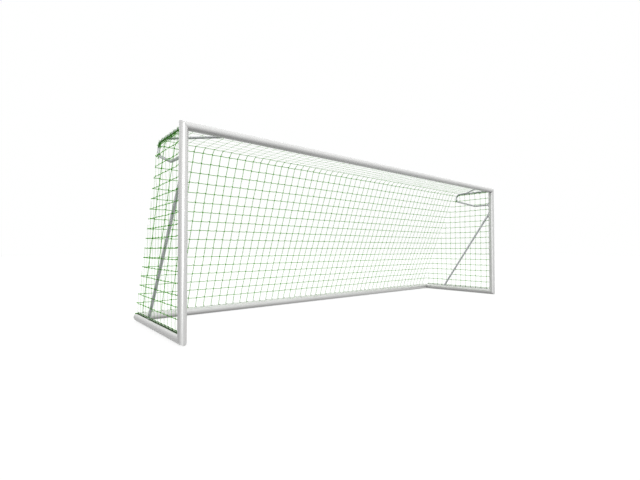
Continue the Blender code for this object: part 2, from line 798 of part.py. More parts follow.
# ------------------------------------------------------------- plain net sheets
def sheet(points, thickness_dir):
    """Thin plate on a flat outline."""
    bm = bmesh.new()
    d = Vector(thickness_dir).normalized() * NET_T
    low = [bm.verts.new(p) for p in points]
    high = [bm.verts.new(Vector(p) + d) for p in points]
    n = len(points)
    for k in range(n):
        j = (k + 1) % n
        bm.faces.new((low[k], low[j], high[j], high[k]))
    bm.faces.new(low[::-1])
    bm.faces.new(high)
    bmesh.ops.recalc_face_normals(bm, faces=bm.faces)
    return bm


front = HOOK_TOP + 0.0015
# the roof goes over the hoops' rear bends and ends at the top of the back panel
roof_line = [
    Vector(p)
    for p in (
        (front, NET_ROOF_Z),
        (0.862, NET_ROOF_Z),
        (0.9325, 2.4585),
    )
]
roof_outline = [tuple(p) for p in roof_line] + [
    tuple(p + Vector((0.35, 0.94)) * NET_T) for p in roof_line[:0:-1]
] + [(front, NET_ROOF_Z + NET_T)]
roof = bmesh.new()
ends = [
    [roof.verts.new((x, *p)) for p in roof_outline] for x in (-0.0195, SPAN + 0.0195)
]
for k in range(len(roof_outline)):
    j = (k + 1) % len(roof_outline)
    roof.faces.new((ends[0][k], ends[0][j], ends[1][j], ends[1][k]))
roof.faces.new(ends[0][::-1])
roof.faces.new(ends[1])
bmesh.ops.recalc_face_normals(roof, faces=roof.faces)
fall = Vector((0, NET_BACK_LOW[0] - NET_BACK_TOP[0], NET_BACK_LOW[1] - NET_BACK_TOP[1]))
back_out = Vector((0, -fall.z, fall.y)).normalized()
back = sheet(
    [
        (-0.0225, *NET_BACK_TOP),
        (SPAN + 0.0225, *NET_BACK_TOP),
        (SPAN + 0.0225, *NET_BACK_LOW),
        (-0.0225, *NET_BACK_LOW),
    ],
    back_out,
)
side_front = front + section_point(RAIL_ANGLE_POST)[0][1] - section_point(RAIL_ANGLE)[0][1]
side = sheet(
    [
        (-NET_SIDE_X, side_front, NET_BACK_LOW[1]),
        (-NET_SIDE_X, NET_BACK_LOW[0], NET_BACK_LOW[1]),
        (-NET_SIDE_X, NET_BACK_TOP[0], NET_BACK_TOP[1]),
        (-NET_SIDE_X, 0.880, 2.500),
        (-NET_SIDE_X, side_front, 2.500),
    ],
    -X,
)
made.append(("net_left_side", side.copy(), (-NET_SIDE_X, 0.7, 1.2), NET))
made.append(("net_right_side", mirrored(side), (SPAN + NET_SIDE_X, 0.7, 1.2), NET))
made.append(("net_roof", roof, (SPAN / 2, 0.47, NET_ROOF_Z), NET))
made.append(("net_back", back, (SPAN / 2, 1.4, 1.3), NET))

# ----------------------------------------------------------------- the tubes
for run, bm in tubes.items():
    to, start, end = RUNS[run]
    made.append((run, bm, to(0.0, 0.0, (start(0, 0) + end(0, 0)) / 2), ALUMINIUM))

for name, bm, at, finish in made:
    settle(bm)
    piece(name, bm, at, finish)
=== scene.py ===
"""Looks of the full-size soccer goal: finely divided tubes and fittings, a knotted
net of round cord, and the finish of every surface.

Working coordinates are those of the construction: x from the left post's axis to
the right, y from the mouth's axis plane to the rear, z up from the ground. place()
moves them to the model's frame. Nothing here changes the size or place of a part.
"""

import math

import bmesh
import bpy
import numpy as np
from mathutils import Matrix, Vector


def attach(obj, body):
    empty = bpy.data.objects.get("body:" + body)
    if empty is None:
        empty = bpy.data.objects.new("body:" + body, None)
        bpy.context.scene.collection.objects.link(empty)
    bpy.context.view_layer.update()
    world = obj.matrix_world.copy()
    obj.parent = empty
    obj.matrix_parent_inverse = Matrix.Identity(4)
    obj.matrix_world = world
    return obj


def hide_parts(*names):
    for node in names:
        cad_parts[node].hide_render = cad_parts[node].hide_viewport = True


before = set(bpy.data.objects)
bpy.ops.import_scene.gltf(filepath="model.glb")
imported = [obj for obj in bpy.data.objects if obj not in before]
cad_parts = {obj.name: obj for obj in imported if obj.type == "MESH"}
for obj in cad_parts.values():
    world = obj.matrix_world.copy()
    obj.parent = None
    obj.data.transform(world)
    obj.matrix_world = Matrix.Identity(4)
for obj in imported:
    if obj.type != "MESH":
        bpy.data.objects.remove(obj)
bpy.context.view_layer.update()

# ----------------------------------------------------------------- dimensions
A, B, WALL = 0.050, 0.060, 0.003  # oval profile: half axes, wall
SPAN, BAR_Z, DEPTH = 7.42, 2.49, 1.835
SHIFT = Vector((-SPAN / 2, -(DEPTH + A - B) / 2, 0.0))

HOOP_R, HOOP_WALL = 0.0175, 0.0025
HOOP_TOP_Z, HOOP_LOW_Z = 2.490, 2.150
HOOP_PATH = (
    (0.030, HOOP_TOP_Z, 0.0),
    (0.910, HOOP_TOP_Z, 0.100),
    (0.910, 2.316, 0.055),
    (0.415, HOOP_LOW_Z, 0.300),
    (0.030, HOOP_LOW_Z, 0.0),
)
STRUT_R, STRUT_WALL = 0.020, 0.0025
STRUT_TOP, STRUT_FOOT = (0.067, 1.920), (1.275, 0.120)
BRACE_R, BRACE_WALL = 0.0145, 0.002
BRACE_AT_HOOP_Y, BRACE_AT_BAR_X, BRACE_Z = 0.660, 0.600, 2.490
FLANGE_T, FLANGE_HALF_W = 0.005, 0.0205
GAP = 0.0003

RAIL_HALF_W, RAIL_T = 0.009, 0.0035
RAIL_ANGLE, RAIL_ANGLE_POST = 50.0, 56.0  # on the crossbar and the posts
RAIL_ANGLE_GROUND, RAIL_ANGLE_REAR = 70.0, 30.0  # on the ground tubes and the rear bar
HOOK_W = 0.010

MESH, MESH_X, MESH_Y = 0.1362, 0.13595, 0.1346
ROW_0 = 0.1416
CORD_W, CORD_T = 0.0031, 0.0007  # flat braided cord: half its width, half its thickness
TIE = 0.0022  # radius of the round tying cord
ROPE = 0.0030  # radius of the border rope
ROPE_OUT, ROPE_UP = 0.0295, 0.0710  # border rope's place in the crossbar's section
SIDE_X = 0.0235  # a side panel's plane, outside the post's axis

HOOKS_X = [SPAN / 2 + (k - 26.5) * 0.1365 for k in range(54)]  # along the crossbar and the rear bar
COLUMNS_X = [3.679 + (k - 26.5) * MESH_X for k in range(54)]  # the net hangs a little to the left
COLUMNS_Y = [0.1485 + k * MESH_Y for k in range(13)]
ROWS_Z = [ROW_0 + k * MESH for k in range(1, 17)]

rng = np.random.default_rng(20260)

# --------------------------------------------------------------------- camera
cam_data = bpy.data.cameras.new("camera")
cam_data.sensor_width = 36.0
cam_data.lens = 20.998
cam_data.clip_start, cam_data.clip_end = 0.05, 300.0
camera = bpy.data.objects.new("camera", cam_data)
bpy.context.scene.collection.objects.link(camera)
camera.location = (-5.2324, -5.1488, 1.0824)
yaw, pitch = math.radians(39.96), math.radians(1.37)
ahead = Vector(
    (math.sin(yaw) * math.cos(pitch), math.cos(yaw) * math.cos(pitch), math.sin(pitch))
)
camera.rotation_euler = ahead.to_track_quat("-Z", "Y").to_euler()
bpy.context.scene.camera = camera


# ------------------------------------------------------------- mesh gathering
class Form:
    """Vertices, faces and a map of length and turn, gathered for one mesh."""

    def __init__(self):
        self.v, self.faces, self.uv, self.n = [], [], [], 0

    def add(self, verts, faces, uv):
        """faces is (F, k) indices into verts, uv is (F, k, 2)."""
        faces = np.asarray(faces, np.int64)
        self.v.append(np.asarray(verts, float))
        self.faces.append(faces + self.n)
        self.uv.append(np.asarray(uv, float).reshape(-1, 2))
        self.n += len(verts)

    def mesh(self, name, sharp=None):
        me = bpy.data.meshes.new(name)
        v = np.concatenate(self.v) + np.array(SHIFT)
        corners = np.concatenate([f.ravel() for f in self.faces])
        sizes = np.concatenate([np.full(len(f), f.shape[1]) for f in self.faces])
        me.vertices.add(len(v))
        me.vertices.foreach_set("co", v.astype(np.float32).ravel())
        me.loops.add(len(corners))
        me.loops.foreach_set("vertex_index", corners.astype(np.int32))
        me.polygons.add(len(sizes))
        starts = np.concatenate([[0], np.cumsum(sizes)[:-1]])
        me.polygons.foreach_set("loop_start", starts.astype(np.int32))
        me.polygons.foreach_set("loop_total", sizes.astype(np.int32))
        me.update(calc_edges=True)
        layer = me.uv_layers.new(name="along")
        layer.data.foreach_set("uv", np.concatenate(self.uv).astype(np.float32).ravel())
        me.validate()
        me.shade_smooth()
        if sharp:
            me.set_sharp_from_angle(angle=math.radians(sharp))
        return me


def show(name, me, finish, replaced):
    """The mesh as a piece that rides on the goal and stands for CAD nodes."""
    ob = bpy.data.objects.new(name, me)
    bpy.context.scene.collection.objects.link(ob)
    me.materials.clear()
    me.materials.append(finish)
    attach(ob, "root")
    if replaced:
        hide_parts(*replaced)
    return ob


def unit(v):
    return v / np.linalg.norm(v)


def transported(P, closed=False):
    """Tangents and two side vectors that turn as little as they can along P."""
    T = np.empty_like(P)
    if closed:
        T[:] = np.roll(P, -1, 0) - np.roll(P, 1, 0)
    else:
        T[1:-1] = P[2:] - P[:-2]
        T[0], T[-1] = P[1] - P[0], P[-1] - P[-2]
    T /= np.linalg.norm(T, axis=1)[:, None]
    N = np.empty_like(P)
    a = np.array((0.0, 0.0, 1.0)) if abs(T[0][2]) < 0.8 else np.array((1.0, 0.0, 0.0))
    for i in range(len(P)):
        t = T[i]
        a = a - t * float(a @ t)
        a = a / math.sqrt(float(a @ a))
        N[i] = a
    bi = np.cross(T, N)
    if closed:  # spread the closing twist over the whole length
        b = a - T[0] * float(a @ T[0])
        b /= math.sqrt(float(b @ b))
        miss = math.atan2(float(b @ bi[0]), float(b @ N[0]))
        turn = -miss * np.arange(len(P)) / len(P)
        c, s = np.cos(turn)[:, None], np.sin(turn)[:, None]
        N, bi = N * c + bi * s, bi * c - N * s
    return T, N, bi


def tube(form, path, radius, sides=6, closed=False, ends=True, phase=0.0, start=0.0):
    """Round tube along path. radius may vary from point to point."""
    P = np.asarray(path, float)
    n = len(P)
    T, N, bi = transported(P, closed)
    r = np.broadcast_to(np.asarray(radius, float), (n,))
    ang = phase + 2 * np.pi * np.arange(sides) / sides
    ring = P[:, None, :] + r[:, None, None] * (
        np.cos(ang)[None, :, None] * N[:, None, :]
        + np.sin(ang)[None, :, None] * bi[:, None, :]
    )
    verts = ring.reshape(-1, 3)
    length = np.concatenate([[0], np.cumsum(np.linalg.norm(np.diff(P, axis=0), axis=1))])
    length = length + start
    m = n if closed else n - 1
    i = np.repeat(np.arange(m), sides)
    k = np.tile(np.arange(sides), m)
    j = (i + 1) % n
    k2 = (k + 1) % sides
    faces = np.stack([i * sides + k, i * sides + k2, j * sides + k2, j * sides + k], 1)
    u0 = length[i]
    u1 = np.where(j == 0, length[-1] + np.linalg.norm(P[0] - P[-1]), length[j])
    v0, v1 = k / sides, (k + 1) / sides
    uv = np.stack(
        [np.stack(c, 1) for c in ((u0, v0), (u0, v1), (u1, v1), (u1, v0))], 1
    )
    form.add(verts, faces, uv)
    if ends and not closed:
        for at, way in ((0, -1), (n - 1, 1)):
            tip = P[at] + T[at] * way * r[at] * 0.6
            base = ring[at]
            kk = np.arange(sides)
            f = np.stack([kk, (kk + 1) % sides, np.full(sides, sides)], 1)
            if way < 0:
                f = f[:, ::-1]
            c_uv = np.stack(
                [
                    np.stack([np.full(sides, length[at]), x / sides], 1)
                    for x in (kk, kk + 1, kk + 0.5)
                ],
                1,
            )
            form.add(np.concatenate([base, tip[None]]), f, c_uv)


def revolve(form, centre, axis, profile, sides=24, phase=0.0):
    """Turned shape. profile is (radius, height) from bottom to top along axis; a radius of 0 closes it."""
    d = unit(np.asarray(axis, float))
    side = np.array((1.0, 0, 0)) if abs(d[0]) < 0.7 else np.array((0, 1.0, 0))
    u = unit(side - d * (side @ d))
    w = np.cross(d, u)
    ang = phase + 2 * np.pi * np.arange(sides) / sides
    rad = np.cos(ang)[:, None] * u + np.sin(ang)[:, None] * w
    c = np.asarray(centre, float)
    prof = list(profile)
    rings = np.array([c + rad * r + d * h for r, h in prof if r > 0])
    m = len(rings)
    length = np.concatenate(
        [[0], np.cumsum([math.dist(a, b) for a, b in zip(prof, prof[1:])])]
    )
    off = 1 if prof[0][0] == 0 else 0
    i = np.repeat(np.arange(m - 1), sides)
    k = np.tile(np.arange(sides), m - 1)
    k2 = (k + 1) % sides
    faces = np.stack(
        [i * sides + k, i * sides + k2, (i + 1) * sides + k2, (i + 1) * sides + k], 1
    )
    u0, u1 = length[i + off], length[i + 1 + off]
    uv = np.stack(
        [
            np.stack(q, 1)
            for q in ((u0, k / sides), (u0, (k + 1) / sides), (u1, (k + 1) / sides), (u1, k / sides))
        ],
        1,
    )
    form.add(rings.reshape(-1, 3), faces, uv)
    kk = np.arange(sides)
    for at, way, h in ((0, -1, prof[0][1]), (m - 1, 1, prof[-1][1])):
        base = rings[at]
        f = np.stack([kk, (kk + 1) % sides, np.full(sides, sides)], 1)
        if way < 0:
            f = f[:, ::-1]
        lu = length[0] if way < 0 else length[-1]
        c_uv = np.stack(
            [np.stack([np.full(sides, lu), x / sides], 1) for x in (kk, kk + 1, kk + 0.5)], 1
        )
        form.add(np.concatenate([base, (c + d * h)[None]]), f, c_uv)


def from_bmesh(bm, form):
    """Adds a bmesh's faces, mapped by place along each face's main direction."""
    bm.verts.index_update()
    bmesh.ops.triangulate(bm, faces=[f for f in bm.faces if len(f.verts) > 4])
    v = np.array([x.co for x in bm.verts])
    for size in (3, 4):
        fs = [f for f in bm.faces if len(f.verts) == size]
        if not fs:
            continue
        idx = np.array([[x.index for x in f.verts] for f in fs])
        nrm = np.abs(np.array([f.normal for f in fs]))
        drop = nrm.argmax(1)
        keep = np.array([(1, 2), (0, 2), (0, 1)])[drop]
        pts = v[idx]
        uv = np.take_along_axis(pts, np.repeat(keep[:, None, :], size, 1), 2)
        used, inv = np.unique(idx, return_inverse=True)
        form.add(v[used], inv.reshape(idx.shape), uv)
    bm.free()


# ------------------------------------------------------------------ materials
def new_material(name):
    m = bpy.data.materials.new(name)
    m.use_nodes = True
    nt = m.node_tree
    return m, nt, nt.nodes["Principled BSDF"]


def node(nt, kind, **values):
    n = nt.nodes.new(kind)
    for key, value in values.items():
        if hasattr(n, key):
            setattr(n, key, value)
        else:
            n.inputs[key.replace("_", " ")].default_value = value
    return n


def ramp(nt, source, stops, interpolation="LINEAR"):
    n = nt.nodes.new("ShaderNodeValToRGB")
    n.color_ramp.interpolation = interpolation
    while len(n.color_ramp.elements) < len(stops):
        n.color_ramp.elements.new(0.5)
    for e, (at, colour) in zip(n.color_ramp.elements, stops):
        e.position = at
        c = colour if isinstance(colour, tuple) else (colour,) * 3
        e.color = (*c, 1.0)
    nt.links.new(source, n.inputs["Fac"])
    return n.outputs["Color"]


def maths(nt, kind, a, b=None, c=None, clamp=False):
    n = nt.nodes.new("ShaderNodeMath")
    n.operation = kind
    n.use_clamp = clamp
    for k, x in enumerate((a, b, c)):
        if x is None:
            continue
        if isinstance(x, (int, float)):
            n.inputs[k].default_value = x
        else:
            nt.links.new(x, n.inputs[k])
    return n.outputs[0]


def mixed(nt, kind, fac, a, b):
    n = nt.nodes.new("ShaderNodeMix")
    n.data_type = "RGBA"
    n.blend_type = kind
    for key, x in ((0, fac), (6, a), (7, b)):
        if isinstance(x, (int, float)):
            n.inputs[key].default_value = x
        elif isinstance(x, tuple):
            n.inputs[key].default_value = (*x, 1.0)
        else:
            nt.links.new(x, n.inputs[key])
    return n.outputs[2]


def noise(nt, vector, scale, detail=4.0, rough=0.5, distortion=0.0):
    n = nt.nodes.new("ShaderNodeTexNoise")
    n.inputs["Scale"].default_value = scale
    n.inputs["Detail"].default_value = detail
    n.inputs["Roughness"].default_value = rough
    n.inputs["Distortion"].default_value = distortion
    nt.links.new(vector, n.inputs["Vector"])
    return n.outputs["Fac"]


def stretched(nt, source, scale):
    n = nt.nodes.new("ShaderNodeMapping")
    n.inputs["Scale"].default_value = scale
    nt.links.new(source, n.inputs["Vector"])
    return n.outputs["Vector"]


def bumped(nt, shader, height, distance, strength=1.0, under=None):
    n = nt.nodes.new("ShaderNodeBump")
    n.inputs["Distance"].default_value = distance
    n.inputs["Strength"].default_value = strength
    nt.links.new(height, n.inputs["Height"])
    if under is not None:
        nt.links.new(under, n.inputs["Normal"])
    nt.links.new(n.outputs["Normal"], shader.inputs["Normal"])
    return n.outputs["Normal"]


def along_map(nt):
    n = nt.nodes.new("ShaderNodeUVMap")
    n.uv_map = "along"
    return n.outputs["UV"]


def place_map(nt):
    return nt.nodes.new("ShaderNodeTexCoord").outputs["Object"]


def aluminium():
    """Satin anodised extrusion: fine die lines along the tube, faint cloudy anodising, small scuffs."""
    m, nt, s = new_material("satin_aluminium")
    s.inputs["Metallic"].default_value = 0.85
    uv, at = along_map(nt), place_map(nt)
    lines = noise(nt, stretched(nt, uv, (1.2, 95.0, 1.0)), 6.0, 3.0, 0.6)
    fine = noise(nt, stretched(nt, uv, (4.0, 420.0, 1.0)), 5.0, 2.0, 0.5)
    cloud = noise(nt, at, 2.2, 3.0, 0.55)
    speck = noise(nt, at, 70.0, 2.0, 0.5)
    tone = maths(nt, "ADD", maths(nt, "MULTIPLY", lines, 0.5), maths(nt, "MULTIPLY", cloud, 0.5))
    base = ramp(nt, tone, [(0.25, (0.752, 0.752, 0.750)), (0.75, (0.805, 0.805, 0.800))])
    scuff = ramp(nt, noise(nt, stretched(nt, at, (1.0, 1.0, 1.0)), 9.0, 6.0, 0.7, 0.6), [(0.66, 0.0), (0.74, 1.0)])
    base = mixed(nt, "MIX", maths(nt, "MULTIPLY", scuff, 0.22), base, (0.62, 0.63, 0.64))
    nt.links.new(base, s.inputs["Base Color"])
    rough = maths(nt, "MULTIPLY_ADD", lines, 0.10, 0.33)
    rough = maths(nt, "ADD", rough, maths(nt, "MULTIPLY", speck, 0.05))
    rough = maths(nt, "ADD", rough, maths(nt, "MULTIPLY", scuff, 0.10), clamp=True)
    nt.links.new(rough, s.inputs["Roughness"])
    height = maths(nt, "ADD", maths(nt, "MULTIPLY", lines, 0.6), maths(nt, "MULTIPLY", fine, 0.4))
    bumped(nt, s, height, 0.0004, 0.35)
    return m


def cast():
    m, nt, s = new_material("cast_aluminium")
    s.inputs["Metallic"].default_value = 0.85
    at = place_map(nt)
    grain = noise(nt, at, 420.0, 4.0, 0.6)
    cloud = noise(nt, at, 14.0, 3.0, 0.5)
    nt.links.new(ramp(nt, cloud, [(0.3, (0.47, 0.48, 0.49)), (0.7, (0.60, 0.61, 0.61))]), s.inputs["Base Color"])
    nt.links.new(maths(nt, "MULTIPLY_ADD", grain, 0.25, 0.5), s.inputs["Roughness"])
    bumped(nt, s, grain, 0.0006, 0.6)
    return m


def galvanised(name, lift):
    """Hot-dip zinc: angular spangles of slightly different grey and dull runs. lift brightens it."""
    m, nt, s = new_material(name)
    s.inputs["Metallic"].default_value = 0.75
    at = place_map(nt)
    warp = noise(nt, at, 60.0, 2.0, 0.5)
    spangle = nt.nodes.new("ShaderNodeTexVoronoi")
    spangle.feature = "F1"
    spangle.inputs["Scale"].default_value = 130.0
    nt.links.new(at, spangle.inputs["Vector"])
    cell = nt.nodes.new("ShaderNodeSeparateColor")
    nt.links.new(spangle.outputs["Color"], cell.inputs["Color"])
    dull = noise(nt, stretched(nt, at, (1.0, 1.0, 0.5)), 7.0, 5.0, 0.6)
    tone = maths(nt, "ADD", maths(nt, "MULTIPLY", cell.outputs[0], 0.35), maths(nt, "MULTIPLY", dull, 0.65))
    nt.links.new(
        ramp(
            nt,
            tone,
            [
                (0.2, (0.45 * lift, 0.46 * lift, 0.465 * lift)),
                (0.55, (0.54 * lift, 0.55 * lift, 0.555 * lift)),
                (0.85, (0.62 * lift, 0.625 * lift, 0.63 * lift)),
            ],
        ),
        s.inputs["Base Color"],
    )
    rough = maths(nt, "MULTIPLY_ADD", cell.outputs[1], 0.16, 0.38)
    nt.links.new(maths(nt, "ADD", rough, maths(nt, "MULTIPLY", dull, 0.12)), s.inputs["Roughness"])
    height = maths(nt, "ADD", maths(nt, "MULTIPLY", spangle.outputs["Distance"], 0.5), maths(nt, "MULTIPLY", warp, 0.5))
    bumped(nt, s, height, 0.0005, 0.4)
    return m


def zinc_screw():
    m, nt, s = new_material("zinc_screw")
    s.inputs["Metallic"].default_value = 1.0
    at = place_map(nt)
    tint = noise(nt, at, 55.0, 3.0, 0.6)
    fine = noise(nt, at, 900.0, 2.0, 0.5)
    nt.links.new(
        ramp(nt, tint, [(0.3, (0.50, 0.51, 0.54)), (0.55, (0.62, 0.62, 0.62)), (0.75, (0.66, 0.63, 0.56))]),
        s.inputs["Base Color"],
    )
    nt.links.new(maths(nt, "MULTIPLY_ADD", fine, 0.16, 0.24), s.inputs["Roughness"])
    bumped(nt, s, fine, 0.0002, 0.4)
    return m


def rail_plastic():
    """Moulded hook rail: matt dark grey-green plastic with moulding grain and patches of dust."""
    m, nt, s = new_material("rail_plastic")
    at = place_map(nt)
    grain = noise(nt, at, 650.0, 3.0, 0.6)
    dust = noise(nt, at, 11.0, 5.0, 0.65)
    base = ramp(nt, grain, [(0.3, (0.120, 0.180, 0.105)), (0.7, (0.170, 0.245, 0.150))])
    base = mixed(nt, "MIX", maths(nt, "MULTIPLY", ramp(nt, dust, [(0.45, 0.0), (0.8, 1.0)]), 0.35), base, (0.26, 0.30, 0.24))
    nt.links.new(base, s.inputs["Base Color"])
    nt.links.new(maths(nt, "MULTIPLY_ADD", dust, 0.25, 0.42), s.inputs["Roughness"])
    bumped(nt, s, grain, 0.0004, 0.5)
    return m


def cord_material(name, dark, light, strands, lay, wear):
    """Braided polypropylene, with the plait's grooves painted darker as shade: dark is the cord's shaded tone, light
    its lit tone. strands plaits go each way round; lay is the plait's pitch along the cord, in metres.
    """
    m, nt, s = new_material(name)
    s.inputs["Sheen Weight"].default_value = 0.04
    s.inputs["Sheen Roughness"].default_value = 0.5
    s.inputs["Specular IOR Level"].default_value = 0.2
    uv, at = along_map(nt), place_map(nt)
    split = nt.nodes.new("ShaderNodeSeparateXYZ")
    nt.links.new(uv, split.inputs[0])
    u = maths(nt, "MULTIPLY", split.outputs["X"], 2 * math.pi / lay)
    v = maths(nt, "MULTIPLY", split.outputs["Y"], 2 * math.pi * strands)
    one = maths(nt, "SINE", maths(nt, "ADD", u, v))
    two = maths(nt, "SINE", maths(nt, "SUBTRACT", u, v))
    plait = maths(nt, "MULTIPLY_ADD", maths(nt, "MAXIMUM", one, two), 0.5, 0.5)
    fibre = noise(nt, stretched(nt, uv, (900.0, 26.0, 1.0)), 3.0, 2.0, 0.5)
    fade = noise(nt, at, 1.7, 3.0, 0.55)
    # painted shade: the tone darkens in the grooves between the plaits, on top of the bump it also drives, from the
    # shaded tone (dark) to the lit tone (light)
    tone = maths(nt, "ADD", maths(nt, "MULTIPLY", plait, 0.7), maths(nt, "MULTIPLY", fibre, 0.3))
    base = ramp(nt, tone, [(0.15, dark), (0.85, light)])
    worn = tuple(0.55 * a + 0.45 * b for a, b in zip(light, (0.30, 0.36, 0.22)))
    base = mixed(nt, "MIX", maths(nt, "MULTIPLY", ramp(nt, fade, [(0.42, 0.0), (0.78, 1.0)]), wear), base, worn)
    nt.links.new(base, s.inputs["Base Color"])
    nt.links.new(maths(nt, "MULTIPLY_ADD", fibre, 0.2, 0.55), s.inputs["Roughness"])
    bumped(nt, s, tone, 0.0009, 0.7)
    return m


ALUMINIUM = aluminium()
CASTING = cast()
GALVANISED = galvanised("galvanised_steel", 1.22)
GALVANISED_STRUT = galvanised("galvanised_strut", 1.32)
GALVANISED_HOOP = galvanised("galvanised_hoop", 1.3)
SCREW = zinc_screw()
RAIL = rail_plastic()
# each cord's two colours are its painted shaded tone and its lit tone, the plait's grooves painted in the shaded one
NET = cord_material("net_cord_green", (0.055, 0.285, 0.010), (0.140, 0.520, 0.025), 3, 0.0075, 0.25)
ROPE_FINISH = cord_material("border_rope_green", (0.040, 0.210, 0.012), (0.105, 0.370, 0.030), 4, 0.0110, 0.22)


def typical(m, colour, rough):
    """The finish's mean colour and roughness, on the shader's own sockets too."""
    s = m.node_tree.nodes["Principled BSDF"]
    s.inputs["Base Color"].default_value = (*colour, 1.0)
    s.inputs["Roughness"].default_value = rough
    m.diffuse_color = (*colour, 1.0)


typical(ALUMINIUM, (0.778, 0.778, 0.774), 0.41)
typical(CASTING, (0.535, 0.545, 0.550), 0.62)
typical(GALVANISED, (0.653, 0.665, 0.671), 0.52)
typical(GALVANISED_STRUT, (0.706, 0.719, 0.726), 0.52)
typical(GALVANISED_HOOP, (0.696, 0.709, 0.715), 0.52)
typical(SCREW, (0.610, 0.605, 0.585), 0.32)
typical(RAIL, (0.155, 0.220, 0.137), 0.54)
typical(NET, (0.104, 0.405, 0.022), 0.65)
typical(ROPE_FINISH, (0.078, 0.296, 0.026), 0.65)


# ------------------------------------------------------------ the oval profile
def post_left(s, t, w):
    return (-s, t, w)


def post_right(s, t, w):
    return (SPAN + s, t, w)


def bar_top(s, t, w):
    return (w, t, BAR_Z + s)


def ground_left(s, t, w):
    return (-s, w, B + t)


def ground_right(s, t, w):
    return (SPAN + s, w, B + t)


def bar_rear(s, t, w):
    return (w, DEPTH + s, B + t)


RUNS = {
    "left_post": (post_left, lambda s, t: B + t, lambda s, t: BAR_Z + s),
    "right_post": (post_right, lambda s, t: B + t, lambda s, t: BAR_Z + s),
    "crossbar": (bar_top, lambda s, t: -s, lambda s, t: SPAN + s),
    "left_ground_tube": (ground_left, lambda s, t: t, lambda s, t: DEPTH + s),
    "right_ground_tube": (ground_right, lambda s, t: t, lambda s, t: DEPTH + s),
    "rear_ground_bar": (bar_rear, lambda s, t: -s, lambda s, t: SPAN + s),
}


def profile_tube(run):
    """The extrusion, mitred at both ends, with the sawn edges broken by a small chamfer."""
    to, start, end = RUNS[run]
    sides, chamfer, gap = 96, 0.0007, 0.0002
    ang = 2 * np.pi * np.arange(sides) / sides
    ca, sa = np.cos(ang), np.sin(ang)

    def section(shrink):
        return [((A - shrink) * c, (B - shrink) * s) for c, s in zip(ca, sa)]

    out, inn = section(0.0), section(WALL)
    edge = section(chamfer)
    rounds = []  # (section, which end, pulled in from the mitre)
    steps = [0.0, 0.015, 0.06, 0.2, 0.4, 0.6, 0.8, 0.94, 0.985, 1.0]
    rounds.append((inn, 0, gap))
    rounds.append((edge, 0, gap))
    rounds.append((out, 0, gap + chamfer))
    for f in steps[1:-1]:
        rounds.append((out, f, 0.0))
    rounds.append((out, 1, gap + chamfer))
    rounds.append((edge, 1, gap))
    rounds.append((inn, 1, gap))
    rings, lengths = [], []
    for pts, f, pull in rounds:
        ring = []
        for s, t in pts:
            w0, w1 = start(s, t), end(s, t)
            if f == 0:
                w = w0 + pull
            elif f == 1:
                w = w1 - pull
            else:
                w = w0 + (w1 - w0) * f
            ring.append(to(s, t, w))
        rings.append(ring)
    rings = np.array(rings)
    m = len(rings)
    form = Form()
    perimeter = 2 * math.pi * math.sqrt((A * A + B * B) / 2)
    i = np.repeat(np.arange(m), sides)  # the last band closes inside the tube
    k = np.tile(np.arange(sides), m)
    j, k2 = (i + 1) % m, (k + 1) % sides
    faces = np.stack([i * sides + k, i * sides + k2, j * sides + k2, j * sides + k], 1)
    axis = int(np.argmax(np.abs(np.array(to(0, 0, 1)) - np.array(to(0, 0, 0)))))
    flat = rings.reshape(-1, 3)
    u = flat[:, axis][faces]
    v0, v1 = k / sides * perimeter, (k + 1) / sides * perimeter
    uv = np.stack([u, np.stack([v0, v1, v1, v0], 1)], 2)
    form.add(flat, faces, uv)
    return form


def outward(me):
    """Turns every face of a closed mesh to look out."""
    bm = bmesh.new()
    bm.from_mesh(me)
    bmesh.ops.recalc_face_normals(bm, faces=bm.faces)
    bm.to_mesh(me)
    bm.free()
    return me


for run in RUNS:
    me = outward(profile_tube(run).mesh(f"{run}_profile", 30))
    show(f"{run}_profile", me, ALUMINIUM, [run])


def section_point(angle_deg):
    c, s = math.cos(math.radians(angle_deg)), math.sin(math.radians(angle_deg))
    k = math.hypot(A * c, B * s)
    return (A * A * c / k, B * B * s / k), (c, s)


# -------------------------------------------------------------------- elbows
for name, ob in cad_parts.items():
    if name.endswith("corner_elbow"):
        ob.data.materials.clear()
        ob.data.materials.append(CASTING)


